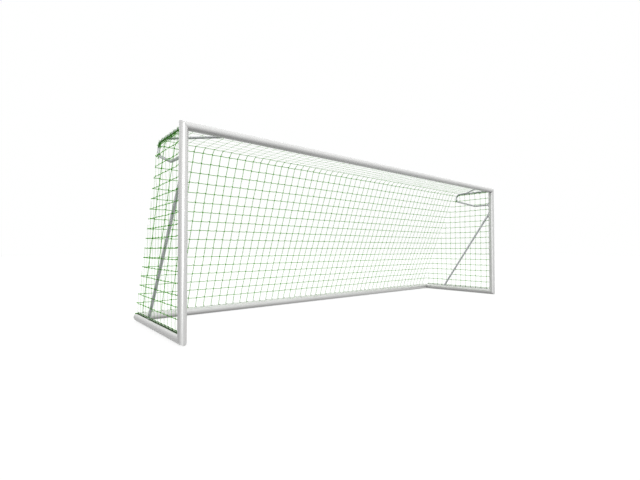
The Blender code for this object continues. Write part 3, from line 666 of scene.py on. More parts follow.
# -------------------------------------------------------------------- screws
def screw_form(face, out, radius, head_r, head_h, length):
    """Flanged hexagon screw: chamfered head, washer face, threaded shank with a pointed end."""
    form = Form()
    d = unit(np.asarray(out, float))
    face = np.asarray(face, float)
    # washer flange and head
    flange_r, flange_h = head_r * 1.0, head_h * 0.28
    revolve(
        form,
        face,
        d,
        [(0, 0.0), (flange_r * 0.97, 0.0), (flange_r, flange_h * 0.3), (flange_r * 0.96, flange_h * 0.75), (head_r * 0.80, flange_h), (0, flange_h)],
        32,
    )
    side = np.array((1.0, 0, 0)) if abs(d[0]) < 0.7 else np.array((0, 1.0, 0))
    u = unit(side - d * (side @ d))
    w = np.cross(d, u)
    turn = rng.uniform(0, math.pi / 3)
    across = head_r * 0.78  # half the width over the corners
    bm = bmesh.new()
    rings = []
    for r, h in ((across, flange_h * 0.5), (across, head_h * 0.80), (across * 0.86, head_h)):
        rings.append(
            [
                bm.verts.new(Vector(face + d * h + (u * math.cos(turn + math.pi / 3 * k) + w * math.sin(turn + math.pi / 3 * k)) * r))
                for k in range(6)
            ]
        )
    for a, b in zip(rings, rings[1:]):
        for k in range(6):
            bm.faces.new((a[k], a[(k + 1) % 6], b[(k + 1) % 6], b[k]))
    top = bm.faces.new(rings[-1])
    bm.faces.new(rings[0][::-1])
    bmesh.ops.recalc_face_normals(bm, faces=bm.faces)
    dish = bmesh.ops.inset_region(bm, faces=[top], thickness=across * 0.16, depth=0.0)
    bmesh.ops.inset_region(bm, faces=[top], thickness=across * 0.10, depth=-head_h * 0.10)
    del dish
    edges = [e for e in bm.edges if e.calc_face_angle(0) > 0.5 and any(f is not top for f in e.link_faces)]
    bmesh.ops.bevel(bm, geom=edges, offset=head_r * 0.05, segments=2, profile=0.5, affect="EDGES")
    from_bmesh(bm, form)
    # shank with thread
    pitch = radius * 0.36
    prof = [(0, -length)]
    h = -length
    prof.append((radius * 0.45, -length))
    prof.append((radius * 0.82, -length + radius * 0.6))
    h = -length + radius * 0.6
    while h < -pitch * 2:
        prof.append((radius, h + pitch * 0.5))
        prof.append((radius * 0.84, h + pitch))
        h += pitch
    prof.append((radius * 0.84, 0.0002))
    prof.append((0, 0.0002))
    revolve(form, face, d, prof, 16)
    return form


def screw_piece(node_name, face, out, radius, head_r, head_h, length):
    me = outward(screw_form(face, out, radius, head_r, head_h, length).mesh(f"{node_name}_fine", 32))
    show(f"{node_name}_fine", me, SCREW, [node_name])


SCREW_R, SCREW_HEAD_R, SCREW_HEAD_H = 0.004, 0.007, 0.0045
X, Y, Z = np.eye(3)
CORNERS = [
    ("top_left", (0, 0, BAR_Z), -Z, "left_post", X, "crossbar", 115.0, 125.0),
    ("top_right", (SPAN, 0, BAR_Z), -Z, "right_post", -X, "crossbar", 115.0, 125.0),
    ("front_left", (0, 0, B), Z, "left_post", Y, "left_ground_tube", 115.0, 210.0),
    ("front_right", (SPAN, 0, B), Z, "right_post", Y, "right_ground_tube", 115.0, 210.0),
    ("rear_left", (0, DEPTH, B), -Y, "left_ground_tube", X, "rear_ground_bar", 210.0, 330.0),
    ("rear_right", (SPAN, DEPTH, B), -Y, "right_ground_tube", -X, "rear_ground_bar", 210.0, 330.0),
]
for name, corner, arm_1, run_1, arm_2, run_2, ang_1, ang_2 in CORNERS:
    for arm, run, ang, which in ((arm_1, run_1, ang_1, "a"), (arm_2, run_2, ang_2, "b")):
        (s, t), n = section_point(ang)
        to = RUNS[run][0]
        off = np.array(to(s, t, 0.0)) - np.array(to(0.0, 0.0, 0.0))
        out = unit(np.array(to(n[0], n[1], 0.0)) - np.array(to(0.0, 0.0, 0.0)))
        face = np.array(corner) + arm * 0.110 + off + out * 0.0004
        screw_piece(f"{name}_corner_screw_{which}", face, out, SCREW_R, SCREW_HEAD_R, SCREW_HEAD_H, 0.015)


def on_side(point, side):
    p = np.array(point, float)
    if side == "right":
        p[0] = SPAN - p[0]
    return p


def dir_side(d, side):
    d = np.array(d, float)
    if side == "right":
        d[0] = -d[0]
    return d


# ------------------------------------------------------------- bent net hoops
def filleted(corners, step_deg):
    """Points of a polyline in (y, z) with its corners rounded."""
    pts = [Vector(corners[0][:2])]
    for (py, pz, _), (cy, cz, r), (ny, nz, _) in zip(corners, corners[1:], corners[2:]):
        c = Vector((cy, cz))
        a = (Vector((py, pz)) - c).normalized()
        b = (Vector((ny, nz)) - c).normalized()
        turn = math.pi - a.angle(b)
        back = r * math.tan(turn / 2)
        centre = c + (a + b).normalized() * (r / math.cos(turn / 2))
        start = c + a * back - centre
        n = max(2, math.ceil(math.degrees(turn) / step_deg))
        sign = 1 if a.x * b.y - a.y * b.x < 0 else -1
        for k in range(n + 1):
            ang = sign * turn * k / n
            pts.append(
                centre
                + Vector(
                    (
                        start.x * math.cos(ang) - start.y * math.sin(ang),
                        start.x * math.sin(ang) + start.y * math.cos(ang),
                    )
                )
            )
    pts.append(Vector(corners[-1][:2]))
    return pts


hoop_line = [np.array((0.0, p.x, p.y)) for p in filleted(HOOP_PATH, 5.0)]


def boolean(bm, cutter, operation):
    """bm joined with, or cut by, cutter, both closed solids."""
    obs = []
    for b, n in ((bm, "work"), (cutter, "tool")):
        bmesh.ops.triangulate(b, faces=b.faces)
        me = bpy.data.meshes.new(n)
        b.to_mesh(me)
        ob = bpy.data.objects.new(n, me)
        bpy.context.scene.collection.objects.link(ob)
        obs.append(ob)
    work, tool = obs
    mod = work.modifiers.new("join", "BOOLEAN")
    mod.operation, mod.solver, mod.object = operation, "EXACT", tool
    graph = bpy.context.evaluated_depsgraph_get()
    graph.update()
    done = bpy.data.meshes.new_from_object(work.evaluated_get(graph))
    out = bmesh.new()
    out.from_mesh(done)
    for ob in obs:
        me = ob.data
        bpy.data.objects.remove(ob, do_unlink=True)
        bpy.data.meshes.remove(me)
    bpy.data.meshes.remove(done)
    bmesh.ops.remove_doubles(out, verts=out.verts, dist=2e-6)
    return out


def bm_tube(path, radius, sides, phase=0.0):
    """Closed solid round bar along path, as a bmesh."""
    P = np.asarray(path, float)
    T, N, bi = transported(P)
    bm = bmesh.new()
    rings = []
    for p, a, b in zip(P, N, bi):
        rings.append(
            [
                bm.verts.new(Vector(p + radius * (a * math.cos(phase + 2 * math.pi * k / sides) + b * math.sin(phase + 2 * math.pi * k / sides))))
                for k in range(sides)
            ]
        )
    for r0, r1 in zip(rings, rings[1:]):
        for k in range(sides):
            j = (k + 1) % sides
            bm.faces.new((r0[k], r0[j], r1[j], r1[k]))
    bm.faces.new(rings[0][::-1])
    bm.faces.new(rings[-1])
    bmesh.ops.recalc_face_normals(bm, faces=bm.faces)
    return bm


def bm_profile(run, grow, low, high):
    """Solid of the oval from low to high along a run, to cut rests that fit it."""
    to = RUNS[run][0]
    bm = bmesh.new()
    rings = []
    for w in (low, high):
        rings.append(
            [
                bm.verts.new(Vector(to((A + grow) * math.cos(2 * math.pi * (k + 0.5) / 64), (B + grow) * math.sin(2 * math.pi * (k + 0.5) / 64), w)))
                for k in range(64)
            ]
        )
    for k in range(64):
        j = (k + 1) % 64
        bm.faces.new((rings[0][k], rings[0][j], rings[1][j], rings[1][k]))
    bm.faces.new(rings[0][::-1])
    bm.faces.new(rings[1])
    bmesh.ops.recalc_face_normals(bm, faces=bm.faces)
    return bm


def plate(centre, out, along, low, high, half_w, inside, outside, edge=0.0012):
    """Flange with rounded corners and broken edges."""
    out, along = Vector(out), Vector(along)
    across = out.cross(along)
    outline = []
    r = half_w * 0.6
    for sx, sy, a0 in ((1, 1, 0), (-1, 1, 90), (-1, -1, 180), (1, -1, 270)):
        cx = (high - r) if sx > 0 else (low + r)
        cy = sy * (half_w - r)
        for k in range(9):
            ang = math.radians(a0 + 90 / 8 * k)
            outline.append((cx + r * math.cos(ang), cy + r * math.sin(ang)))
    mid = ((low + high) / 2, 0.0)
    bm = bmesh.new()
    rings = []
    for h, pull in ((-inside, 0.0), (outside - edge, 0.0), (outside - edge * 0.3, edge * 0.3), (outside, edge)):
        ring = []
        for p, q in outline:
            dx, dy = p - mid[0], q - mid[1]
            size = math.hypot(dx, dy)
            ring.append(bm.verts.new(Vector(centre) + along * (p - dx / size * pull) + across * (q - dy / size * pull) + out * h))
        rings.append(ring)
    n = len(outline)
    for r0, r1 in zip(rings, rings[1:]):
        for k in range(n):
            j = (k + 1) % n
            bm.faces.new((r0[k], r0[j], r1[j], r1[k]))
    bm.faces.new(rings[0][::-1])
    bm.faces.new(rings[-1])
    bmesh.ops.recalc_face_normals(bm, faces=bm.faces)
    return bm


def weld(form, point, axis, radius, normal, size=0.0026, ripples=26):
    """Rippled fillet weld where a round tube along axis meets the plane through point."""
    a, n = unit(np.asarray(axis, float)), unit(np.asarray(normal, float))
    side = np.array((1.0, 0, 0)) if abs(a[0]) < 0.7 else np.array((0, 1.0, 0))
    u = unit(side - a * (side @ a))
    w = np.cross(a, u)
    count = ripples * 4
    pts, rad = [], []
    for k in range(count):
        phi = 2 * math.pi * k / count
        q = (u * math.cos(phi) + w * math.sin(phi)) * (radius + size * 0.25)
        t = -(q @ n) / (a @ n)
        pts.append(np.asarray(point) + q + a * t)
        rad.append(size * (1.0 + 0.13 * math.sin(2 * math.pi * k / 4)))
    tube(form, pts, rad, 8, closed=True)


def mirrored_form(form):
    out = Form()
    out.n = form.n
    for v in form.v:
        m = v.copy()
        m[:, 0] = SPAN - m[:, 0]
        out.v.append(m)
    out.faces = [f[:, ::-1] for f in form.faces]
    out.uv = []
    for f, uv in zip(form.faces, form.uv):
        k = f.shape[1]
        out.uv.append(uv.reshape(-1, k, 2)[:, ::-1, :].reshape(-1, 2))
    return out


def both_sides(form, key, finish, sharp=35, nodes=None):
    for side, fm in (("left", form), ("right", mirrored_form(form))):
        me = fm.mesh(f"{side}_{key}_fine", sharp)
        show(f"{side}_{key}_fine", me, finish, [f"{side}_{key}"])


solid = bm_tube(hoop_line, HOOP_R, 32)
hoop_screws = []
for zc, low, high in ((HOOP_TOP_Z, -0.046, 0.044), (HOOP_LOW_Z, -0.048, 0.048)):
    solid = boolean(solid, plate((0, B, zc), Y, Z, low, high, FLANGE_HALF_W, 0.034, FLANGE_T), "UNION")
    for dz in (-0.032, 0.032):
        hoop_screws.append((0, B + FLANGE_T + GAP, zc + dz))
bore = [hoop_line[0] - Y * 0.01] + hoop_line[1:-1] + [hoop_line[-1] - Y * 0.01]
for cutter in (
    bm_tube(bore, HOOP_R - HOOP_WALL, 24),
    bm_profile("left_post", GAP, 2.0, 2.6),
    bm_profile("crossbar", GAP, -0.2, 0.2),
):
    solid = boolean(solid, cutter, "DIFFERENCE")
form = Form()
from_bmesh(solid, form)
for zc in (HOOP_TOP_Z, HOOP_LOW_Z):
    weld(form, (0, B + FLANGE_T, zc), Y, HOOP_R, Y)
both_sides(form, "net_hoop", GALVANISED_HOOP)
for face, tag in zip(hoop_screws, ("top_a", "top_b", "low_a", "low_b")):
    for side in ("left", "right"):
        screw_piece(f"{side}_hoop_screw_{tag}", on_side(face, side), Y, SCREW_R, SCREW_HEAD_R, SCREW_HEAD_H, 0.022)

# ----------------------------------------------------------------- top braces
at_hoop = np.array((0, BRACE_AT_HOOP_Y, BRACE_Z))
at_bar = np.array((BRACE_AT_BAR_X, B, BRACE_Z))
brace_dir = unit(np.array((BRACE_AT_BAR_X, B - BRACE_AT_HOOP_Y, 0)))
solid = bm_tube([at_hoop, at_bar - Y * 0.02 + X * 0.02], BRACE_R, 28)
solid = boolean(solid, plate(at_hoop + X * HOOP_R, X, Y, -0.031, 0.046, 0.0155, 0.013, 0.004), "UNION")
solid = boolean(solid, plate(at_bar, Y, X, -0.031, 0.048, 0.0185, 0.030, 0.004), "UNION")
for cutter in (
    bm_tube([at_hoop - brace_dir * 0.03, at_bar + brace_dir * 0.05], BRACE_R - BRACE_WALL, 20),
    bm_tube([(0, 0.2, BRACE_Z), (0, 0.9, BRACE_Z)], HOOP_R + GAP, 32),
    bm_profile("crossbar", GAP, -0.2, 1.2),
):
    solid = boolean(solid, cutter, "DIFFERENCE")
form = Form()
from_bmesh(solid, form)
weld(form, at_hoop + X * (HOOP_R + 0.004), brace_dir, BRACE_R, X, 0.0020, 20)
weld(form, at_bar + Y * 0.004, brace_dir, BRACE_R, Y, 0.0020, 20)
both_sides(form, "top_brace", GALVANISED)
for tag, face, out in (
    ("hoop_end", at_hoop + X * (HOOP_R + 0.004 + GAP) + Y * 0.036, X),
    ("bar_end", at_bar + Y * (0.004 + GAP) + X * 0.037, Y),
):
    for side in ("left", "right"):
        screw_piece(f"{side}_brace_screw_{tag}", on_side(face, side), dir_side(out, side), 0.003, 0.0052, 0.0035, 0.0125)

# ---------------------------------------------------------------- side struts
s_top = np.array((0, STRUT_TOP[0], STRUT_TOP[1]))
s_foot = np.array((0, STRUT_FOOT[0], STRUT_FOOT[1]))
s_dir = unit(s_foot - s_top)
post_face, foot_face = np.array((0, B, STRUT_TOP[1])), np.array((0, STRUT_FOOT[0], 2 * B))
solid = bm_tube([s_top - s_dir * 0.050, s_foot + s_dir * 0.030], STRUT_R, 36)
solid = boolean(solid, plate(post_face, Y, Z, -0.084, 0.064, FLANGE_HALF_W, 0.030, FLANGE_T), "UNION")
solid = boolean(solid, plate(foot_face, Z, Y, -0.064, 0.058, FLANGE_HALF_W, 0.030, FLANGE_T), "UNION")
for cutter in (
    bm_tube([s_top - s_dir * 0.070, s_foot + s_dir * 0.050], STRUT_R - STRUT_WALL, 24),
    bm_profile("left_post", GAP, 1.5, 2.3),
    bm_profile("left_ground_tube", GAP, 0.9, 1.6),
):
    solid = boolean(solid, cutter, "DIFFERENCE")
form = Form()
from_bmesh(solid, form)
for point, n in ((post_face + Y * FLANGE_T, Y), (foot_face + Z * FLANGE_T, Z)):
    along = ((point - s_top) @ n) / (s_dir @ n)
    weld(form, s_top + s_dir * along, s_dir, STRUT_R, n)
both_sides(form, "side_strut", GALVANISED_STRUT)
for tag, face, out in (
    ("post_a", post_face + Y * (FLANGE_T + GAP) + Z * 0.050, Y),
    ("post_b", post_face + Y * (FLANGE_T + GAP) - Z * 0.071, Y),
    ("foot_a", foot_face + Z * (FLANGE_T + GAP) + Y * 0.045, Z),
    ("foot_b", foot_face + Z * (FLANGE_T + GAP) - Y * 0.050, Z),
):
    for side in ("left", "right"):
        screw_piece(f"{side}_strut_screw_{tag}", on_side(face, side), dir_side(out, side), SCREW_R, SCREW_HEAD_R, SCREW_HEAD_H, 0.018)


# ----------------------------------------------------------------- hook rails
def rail_section(angle, notched=False):
    """The strip's outline in the tube's section: shallow crown, rounded edges, a groove along each side.

    notched leaves only its outer edge, the part that passes a welded flange."""
    (s0, t0), (ns, nt) = section_point(angle)
    ts, tt = -nt, ns

    def at(n, t):
        return (s0 + ns * n + ts * t, t0 + nt * n + tt * t)

    lift, w, h = 0.0003, RAIL_HALF_W, RAIL_T
    if notched:
        limit = FLANGE_HALF_W + GAP + 0.0001
        high = (s0 - limit) / nt  # the tangent's way at which the strip would meet the flange
        pts = [(lift, -w), (lift + h * 0.55, -w), (lift + h * 0.9, -w * 0.96), (lift + h, -w * 0.90)]
        pts += [(lift + h, high - 0.0004), (lift + h * 0.85, high), (lift, high)]
        return [at(n, t) for n, t in pts], at
    pts = [(lift, -w), (lift + h * 0.55, -w), (lift + h * 0.9, -w * 0.92), (lift + h, -w * 0.78)]
    pts += [(lift + h, -w * 0.58), (lift + h * 0.72, -w * 0.52), (lift + h * 0.72, -w * 0.40), (lift + h, -w * 0.34)]
    pts += [(lift + h * 1.06, 0.0), (lift + h, w * 0.34)]
    pts += [(lift + h * 0.72, w * 0.40), (lift + h * 0.72, w * 0.52), (lift + h, w * 0.58)]
    pts += [(lift + h, w * 0.82), (lift + h * 0.85, w * 0.95), (lift + h * 0.5, w), (lift, w)]
    pts += [(lift, w * 0.5), (lift, 0.0), (lift, -w * 0.5)]
    return [at(n, t) for n, t in pts], at


def moved(angle):
    """How far a rail's hooks stand from the crossbar's, in the tube's section."""
    (s, t), _ = section_point(angle)
    (s_ref, t_ref), _ = section_point(RAIL_ANGLE)
    return np.array((s - s_ref, t - t_ref))


def hook_template(angle):
    """One curled hook, as section points and places along the rail, on a 10 mm wide lug with soft edges."""
    _, at = rail_section(angle)
    foot = at(0.0003 + RAIL_T * 0.4, RAIL_HALF_W - 0.0035)
    centre = [np.array(foot)] + [
        np.array(c) + moved(angle)
        for c in (
            (0.02330, 0.0575),
            (0.02390, 0.0640),
            (0.02420, 0.0700),
            (0.02470, 0.0738),
            (0.02630, 0.0762),
            (0.02860, 0.0771),
            (0.03090, 0.0767),
            (0.03240, 0.0753),
            (0.03290, 0.0738),
        )
    ]
    if angle > 60.0:  # the lug starts nearer to the rail's upper edge
        centre[1] = np.array(at(RAIL_T * 0.9, RAIL_HALF_W - 0.0016))
    thick = [0.0018, 0.0018, 0.0017, 0.0016, 0.0015, 0.0015, 0.0015, 0.0014, 0.0013, 0.0012]
    left, right = [], []
    for i, c in enumerate(centre):
        d = unit(centre[min(i + 1, len(centre) - 1)] - centre[max(i - 1, 0)])
        n = np.array((-d[1], d[0]))
        left.append(c + n * thick[i])
        right.append(c - n * thick[i])
    tip = unit(centre[-1] - centre[-2])
    outline = left + [centre[-1] + tip * 0.0009] + right[::-1]
    bm = bmesh.new()
    w0, w1 = -HOOK_W / 2, HOOK_W / 2
    rows = []
    for w in (w0, w0 + 0.0022, w1 - 0.0022, w1):
        rows.append([bm.verts.new((p[0], p[1], w)) for p in outline])
    n = len(outline)
    for r0, r1 in zip(rows, rows[1:]):
        for k in range(n):
            j = (k + 1) % n
            bm.faces.new((r0[k], r0[j], r1[j], r1[k]))
    caps = []
    half = len(left)
    for row, flip in ((rows[0], True), (rows[-1], False)):
        for k in range(half - 1):
            quad = (row[k], row[k + 1], row[n - 2 - k], row[n - 1 - k])
            caps.append(bm.faces.new(quad[::-1] if flip else quad))
        last = (row[half - 1], row[half], row[half + 1])
        caps.append(bm.faces.new(last[::-1] if flip else last))
    bmesh.ops.recalc_face_normals(bm, faces=bm.faces)
    rim = set()
    for f in caps:
        for e in f.edges:
            if any(g not in caps for g in e.link_faces):
                rim.add(e)
    bmesh.ops.bevel(bm, geom=list(rim), offset=0.0007, segments=2, profile=0.5, affect="EDGES")
    bmesh.ops.triangulate(bm, faces=[f for f in bm.faces if len(f.verts) > 4])
    bm.verts.index_update()
    v = np.array([x.co for x in bm.verts])
    faces = [[x.index for x in f.verts] for f in bm.faces]
    bm.free()
    return v, faces




def strip(form, to, outline, start, end):
    """One length of a rail's section, with its ends drawn in a little."""
    n = len(outline)
    count = max(2, int((end - start) / 0.35))
    places = np.linspace(start + 0.0008, end - 0.0008, count)
    mid = np.mean(outline, axis=0)
    small = [mid + (np.array(p) - mid) * 0.94 for p in outline]
    rows = [[to(*p, start) for p in small]]
    rows += [[to(*p, w) for p in outline] for w in places]
    rows += [[to(*p, end) for p in small]]
    bm = bmesh.new()
    vr = [[bm.verts.new(Vector(p)) for p in row] for row in rows]
    for r0, r1 in zip(vr, vr[1:]):
        for k in range(n):
            j = (k + 1) % n
            bm.faces.new((r0[k], r0[j], r1[j], r1[k]))
    bm.faces.new(vr[0][::-1])
    bm.faces.new(vr[-1])
    bmesh.ops.recalc_face_normals(bm, faces=bm.faces)
    from_bmesh(bm, form)


def rail_form(run, angle, start, end, hooks, notches):
    to = RUNS[run][0]
    form = Form()
    full, _ = rail_section(angle)
    places = [start] + [w for pair in notches for w in pair] + [end]
    for w0, w1 in zip(places[::2], places[1::2]):
        strip(form, to, full, w0, w1)
    for w0, w1 in notches:
        strip(form, to, rail_section(angle, True)[0], w0 - 0.003, w1 + 0.003)
    hook_v, hook_f = hook_template(angle)
    tri = np.array([f for f in hook_f if len(f) == 3])
    quad = np.array([f for f in hook_f if len(f) == 4])
    for h in hooks:
        v = np.array([to(p[0], p[1], h + p[2]) for p in hook_v])
        for f in (tri, quad):
            if not len(f):
                continue
            used, inv = np.unique(f, return_inverse=True)
            form.add(v[used], inv.reshape(f.shape), np.stack([hook_v[f][:, :, 1], hook_v[f][:, :, 2]], 2))
    return form


def welded(me):
    """Joins doubled vertices, then turns faces out."""
    bm = bmesh.new()
    bm.from_mesh(me)
    bmesh.ops.remove_doubles(bm, verts=bm.verts, dist=1e-6)
    bmesh.ops.recalc_face_normals(bm, faces=bm.faces)
    bm.to_mesh(me)
    bm.free()
    return me


def between(values, low, high):
    return [v for v in values if low <= v <= high]


POST_NOTCHES = ((1.828, 1.992), (2.094, 2.206))
GROUND_NOTCHES = ((1.203, 1.341),)
RAILS = (
    ("crossbar_net_rail", "crossbar", RAIL_ANGLE, 0.034, SPAN - 0.034, HOOKS_X, ()),
    ("left_post_net_rail", "left_post", RAIL_ANGLE_POST, 0.200, 2.420, ROWS_Z, POST_NOTCHES),
    ("right_post_net_rail", "right_post", RAIL_ANGLE_POST, 0.200, 2.420, ROWS_Z, POST_NOTCHES),
    ("left_ground_net_rail", "left_ground_tube", RAIL_ANGLE_GROUND, 0.110, 1.800, COLUMNS_Y, GROUND_NOTCHES),
    ("right_ground_net_rail", "right_ground_tube", RAIL_ANGLE_GROUND, 0.110, 1.800, COLUMNS_Y, GROUND_NOTCHES),
    ("rear_bar_net_rail", "rear_ground_bar", RAIL_ANGLE_REAR, 0.034, SPAN - 0.034, HOOKS_X, ()),
)
for name, run, angle, start, end, hooks, notches in RAILS:
    kept = [
        h
        for h in between(hooks, start + 0.02, end - 0.012)
        if not any(low - 0.012 < h < high + 0.012 for low, high in notches)
    ]
    me = welded(rail_form(run, angle, start, end, kept, notches).mesh(f"{name}_moulding"))
    me.shade_smooth()
    me.set_sharp_from_angle(angle=math.radians(40))
    show(f"{name}_moulding", me, RAIL, [name])


# ------------------------------------------------------------------------ net
FOLD_Y, FOLD_Z = 0.862, 2.5190  # the row on the fold between roof and back
ROOF_MESH = 0.1372  # front to rear on the roof
TOP_Y, TOP_Z = 0.935, 2.4570  # the back panel's top row
LOW_Y, LOW_Z = 1.880, 0.1415  # the back panel's lowest edge


def back_y(z):
    return TOP_Y + (TOP_Z - z) * (LOW_Y - TOP_Y) / (TOP_Z - LOW_Z)


def edge_z(y):
    return TOP_Z - (y - TOP_Y) * (TOP_Z - LOW_Z) / (LOW_Y - TOP_Y)


POST_OUT, POST_UP = np.array((ROPE_OUT, ROPE_UP)) + moved(RAIL_ANGLE_POST)
GROUND_OUT, GROUND_UP = np.array((ROPE_OUT, ROPE_UP)) + moved(RAIL_ANGLE_GROUND)
REAR_OUT, REAR_UP = np.array((ROPE_OUT, ROPE_UP - 0.003)) + moved(RAIL_ANGLE_REAR)


def eased(x, low, high):
    f = min(1.0, max(0.0, (x - low) / (high - low)))
    return f * f * (3 - 2 * f)


def past(x, base, bends):
    """Rope's distance out along a tube: base, and further where it goes round what stands there."""
    for centre, half, out in bends:
        f = eased(abs(x - centre), half + 0.075, half)
        base = base + (out - base) * f
    return base


def post_rope_out(z):
    return past(z, POST_OUT, ((1.905, 0.035, 0.0258), (HOOP_LOW_Z, 0.014, 0.0254), (2.480, 0.050, 0.0228)))


def ground_rope_out(y):
    return past(y, GROUND_OUT, ((0.0, 0.072, POST_OUT), (1.2620, 0.030, 0.0248), (2.000, 0.150, 0.0300)))


def ground_rope_up(y):
    return GROUND_UP + (REAR_UP - GROUND_UP) * eased(y, 1.70, 1.86)


def cord(form, path, sides=6, widths=None):
    """Flat braided cord. path is [(point, the way its flat side faces)]."""
    P = np.array([p for p, _ in path])
    R = np.array([r for _, r in path])
    n = len(P)
    T = np.empty_like(P)
    T[1:-1] = P[2:] - P[:-2]
    T[0], T[-1] = P[1] - P[0], P[-1] - P[-2]
    T /= np.linalg.norm(T, axis=1)[:, None]
    Q = np.cross(T, R)
    Q /= np.linalg.norm(Q, axis=1)[:, None]
    N = np.cross(Q, T)
    w = np.full(n, CORD_W) if widths is None else np.asarray(widths) * CORD_W
    ang = 2 * np.pi * (np.arange(sides) + 0.5) / sides
    ring = (
        P[:, None, :]
        + (np.cos(ang)[None, :] * w[:, None])[:, :, None] * Q[:, None, :]
        + (np.sin(ang) * CORD_T * 1.12)[None, :, None] * N[:, None, :]
    )
    length = np.concatenate([[0], np.cumsum(np.linalg.norm(np.diff(P, axis=0), axis=1))])
    length = length + rng.uniform(0, 1)
    i = np.repeat(np.arange(n - 1), sides)
    k = np.tile(np.arange(sides), n - 1)
    k2 = (k + 1) % sides
    faces = np.stack([i * sides + k, i * sides + k2, (i + 1) * sides + k2, (i + 1) * sides + k], 1)
    u0, u1, v0, v1 = length[i], length[i + 1], k / sides, (k + 1) / sides
    uv = np.stack([np.stack(c, 1) for c in ((u0, v0), (u0, v1), (u1, v1), (u1, v0))], 1)
    form.add(ring.reshape(-1, 3), faces, uv)
    kk = np.arange(sides)
    for at, way in ((0, -1), (n - 1, 1)):
        tip = P[at] + T[at] * way * 0.0012
        f = np.stack([kk, (kk + 1) % sides, np.full(sides, sides)], 1)
        if way < 0:
            f = f[:, ::-1]
        c_uv = np.stack(
            [np.stack([np.full(sides, length[at]), x / sides], 1) for x in (kk, kk + 1, kk + 0.5)], 1
        )
        form.add(np.concatenate([ring[at], tip[None]]), f, c_uv)


def plain(points, face):
    return [(np.asarray(p, float), np.asarray(face, float)) for p in points]


def hitch(centre, along, front, out_n, out_r, turns=1.0, steps=9, keep=1.0, lead=38.0, rise=None):
    """Cord that wraps round a cord or rope along `along`, from its `front` side.

    out_n and out_r are how far the wrap stands off in front and beside."""
    c = unit(np.asarray(along, float))
    n = np.asarray(front, float)
    n = unit(n - c * (n @ c))
    r = np.cross(c, n)
    rise = 2 * CORD_W if rise is None else rise
    lead, total = math.radians(lead), 2 * math.pi * turns
    path = []
    for k in range(steps):
        a = -lead + (total + 2 * lead) * k / (steps - 1)
        h = rise * (a / (2 * math.pi) - turns / 2)
        p = np.asarray(centre) + n * math.cos(a) * out_n + r * math.sin(a) * out_r + c * h
        face = unit(n * math.cos(a) * out_r + r * math.sin(a) * out_n) * keep
        path.append((p, face))
    return path


def round_hitch(centre, along, front, radius, turns, steps, rise):
    return [p for p, _ in hitch(centre, along, front, radius, radius, turns, steps, 1.0, 20.0, rise)]


def knotted_panel(form, P, n_out, row_ends, column_ends, sag, bulk=1.0, thin=1.0, column=1.0, fold=None):
    """Square net on the knots P[row, column]. Row cords hitch round the column cords.

    row_ends(i) and column_ends(j) give the path on from the outer knots, at both ends.
    sag is the way down in the panel, for the slack of the row cords. bulk is the knots'
    size, and thin the width between them, where the cord lies edge on. column is a
    further factor for the column cords, pulled narrow along their length. fold is the
    last row's own size, where its knots lie half turned over a fold."""
    rows, cols = P.shape[:2]
    sag, n_out = np.asarray(sag, float), np.asarray(n_out, float)
    for j in range(cols):
        known = [i for i in range(rows) if not np.isnan(P[i, j, 0])]
        if not known:
            continue
        first, last = column_ends(j)
        line = list(first) + plain([P[i, j] for i in known], n_out) + list(last)
        path, widths = [], []
        for k, ((a, fa), (b, fb)) in enumerate(zip(line, line[1:])):
            path.append((a, fa))
            widths.append(min(1.0, column))
            if np.linalg.norm(b - a) > 0.05:
                way = rng.normal(0, 0.0016, 3)
                roll = rng.normal(0, 0.16)
                side = np.cross(unit(b - a), fa)
                over = bool(fold) and k >= len(first) + len(known)  # past the fold, at full width
                for f in (0.12, 0.5, 0.88):
                    face = unit(fa * (1 - f) + fb * f + side * roll * math.sin(math.pi * f))
                    path.append((a + (b - a) * f + way * math.sin(math.pi * f), face))
                    widths.append((1.0 if f == 0.5 else 0.93) * (1.0 if over else thin * column))
        path.append(line[-1])
        widths.append(1.0)
        cord(form, path, widths=widths)
    for i in range(rows):
        known = [j for j in range(cols) if not np.isnan(P[i, j, 0])]
        if not known:
            continue
        first, last = row_ends(i)
        size, width, n = (fold, fold, unit(n_out + Y)) if fold and i == rows - 1 else (bulk, thin, n_out)
        path = list(first)
        widths = [1.0] * len(first)
        for at, j in enumerate(known):
            o = P[i, j]
            up = np.array((np.nan,) * 3)
            for i0, i1 in ((i - 1, i + 1), (i - 1, i), (i, i + 1)):
                if i0 >= 0 and i1 < rows:
                    up = P[i1, j] - P[i0, j]
                    if not np.isnan(up[0]):
                        break
            c = -sag if np.isnan(up[0]) else up
            c = unit(c - n * (c @ n))
            nxt = P[i, known[min(at + 1, len(known) - 1)]]
            prv = P[i, known[max(at - 1, 0)]]
            d = nxt - prv if len(known) > 1 else np.cross(c, n)
            keep = 1.0 if (i + j) % 2 else -1.0
            r = np.cross(c, n * keep)
            cc = c if r @ d > 0 else -c
            knot = hitch(o, cc, n * keep, 0.0034 * size, 0.0066 * size, keep=keep, rise=0.0076 * size)
            path += knot
            widths += [1.1 * size] + [1.55 * size] * (len(knot) - 2) + [1.1 * size]
            if at + 1 < len(known):
                slack = 0.0022 + abs(rng.normal(0, 0.0010))
                wig = rng.normal(0, 0.0008, 3)
                roll = rng.normal(0, 0.14)
                side = np.cross(unit(nxt - o), n)
                for f in (0.30, 0.70):
                    path.append((o + (nxt - o) * f + sag * slack * 4 * f * (1 - f) + wig, unit(n + side * roll)))
                    widths.append(width)
        path += list(last)
        widths += [1.0] * len(last)
        cord(form, path, widths=widths)


def jitter(shape, amount):
    return rng.normal(0, amount, shape)


def rope_loop(centre, along, front, keep=1.0):
    """The end of a cord, hitched once round the border rope."""
    return hitch(centre, along, front, ROPE + CORD_T, ROPE + CORD_T, 1.0, 9, keep, 20.0)[::-1]


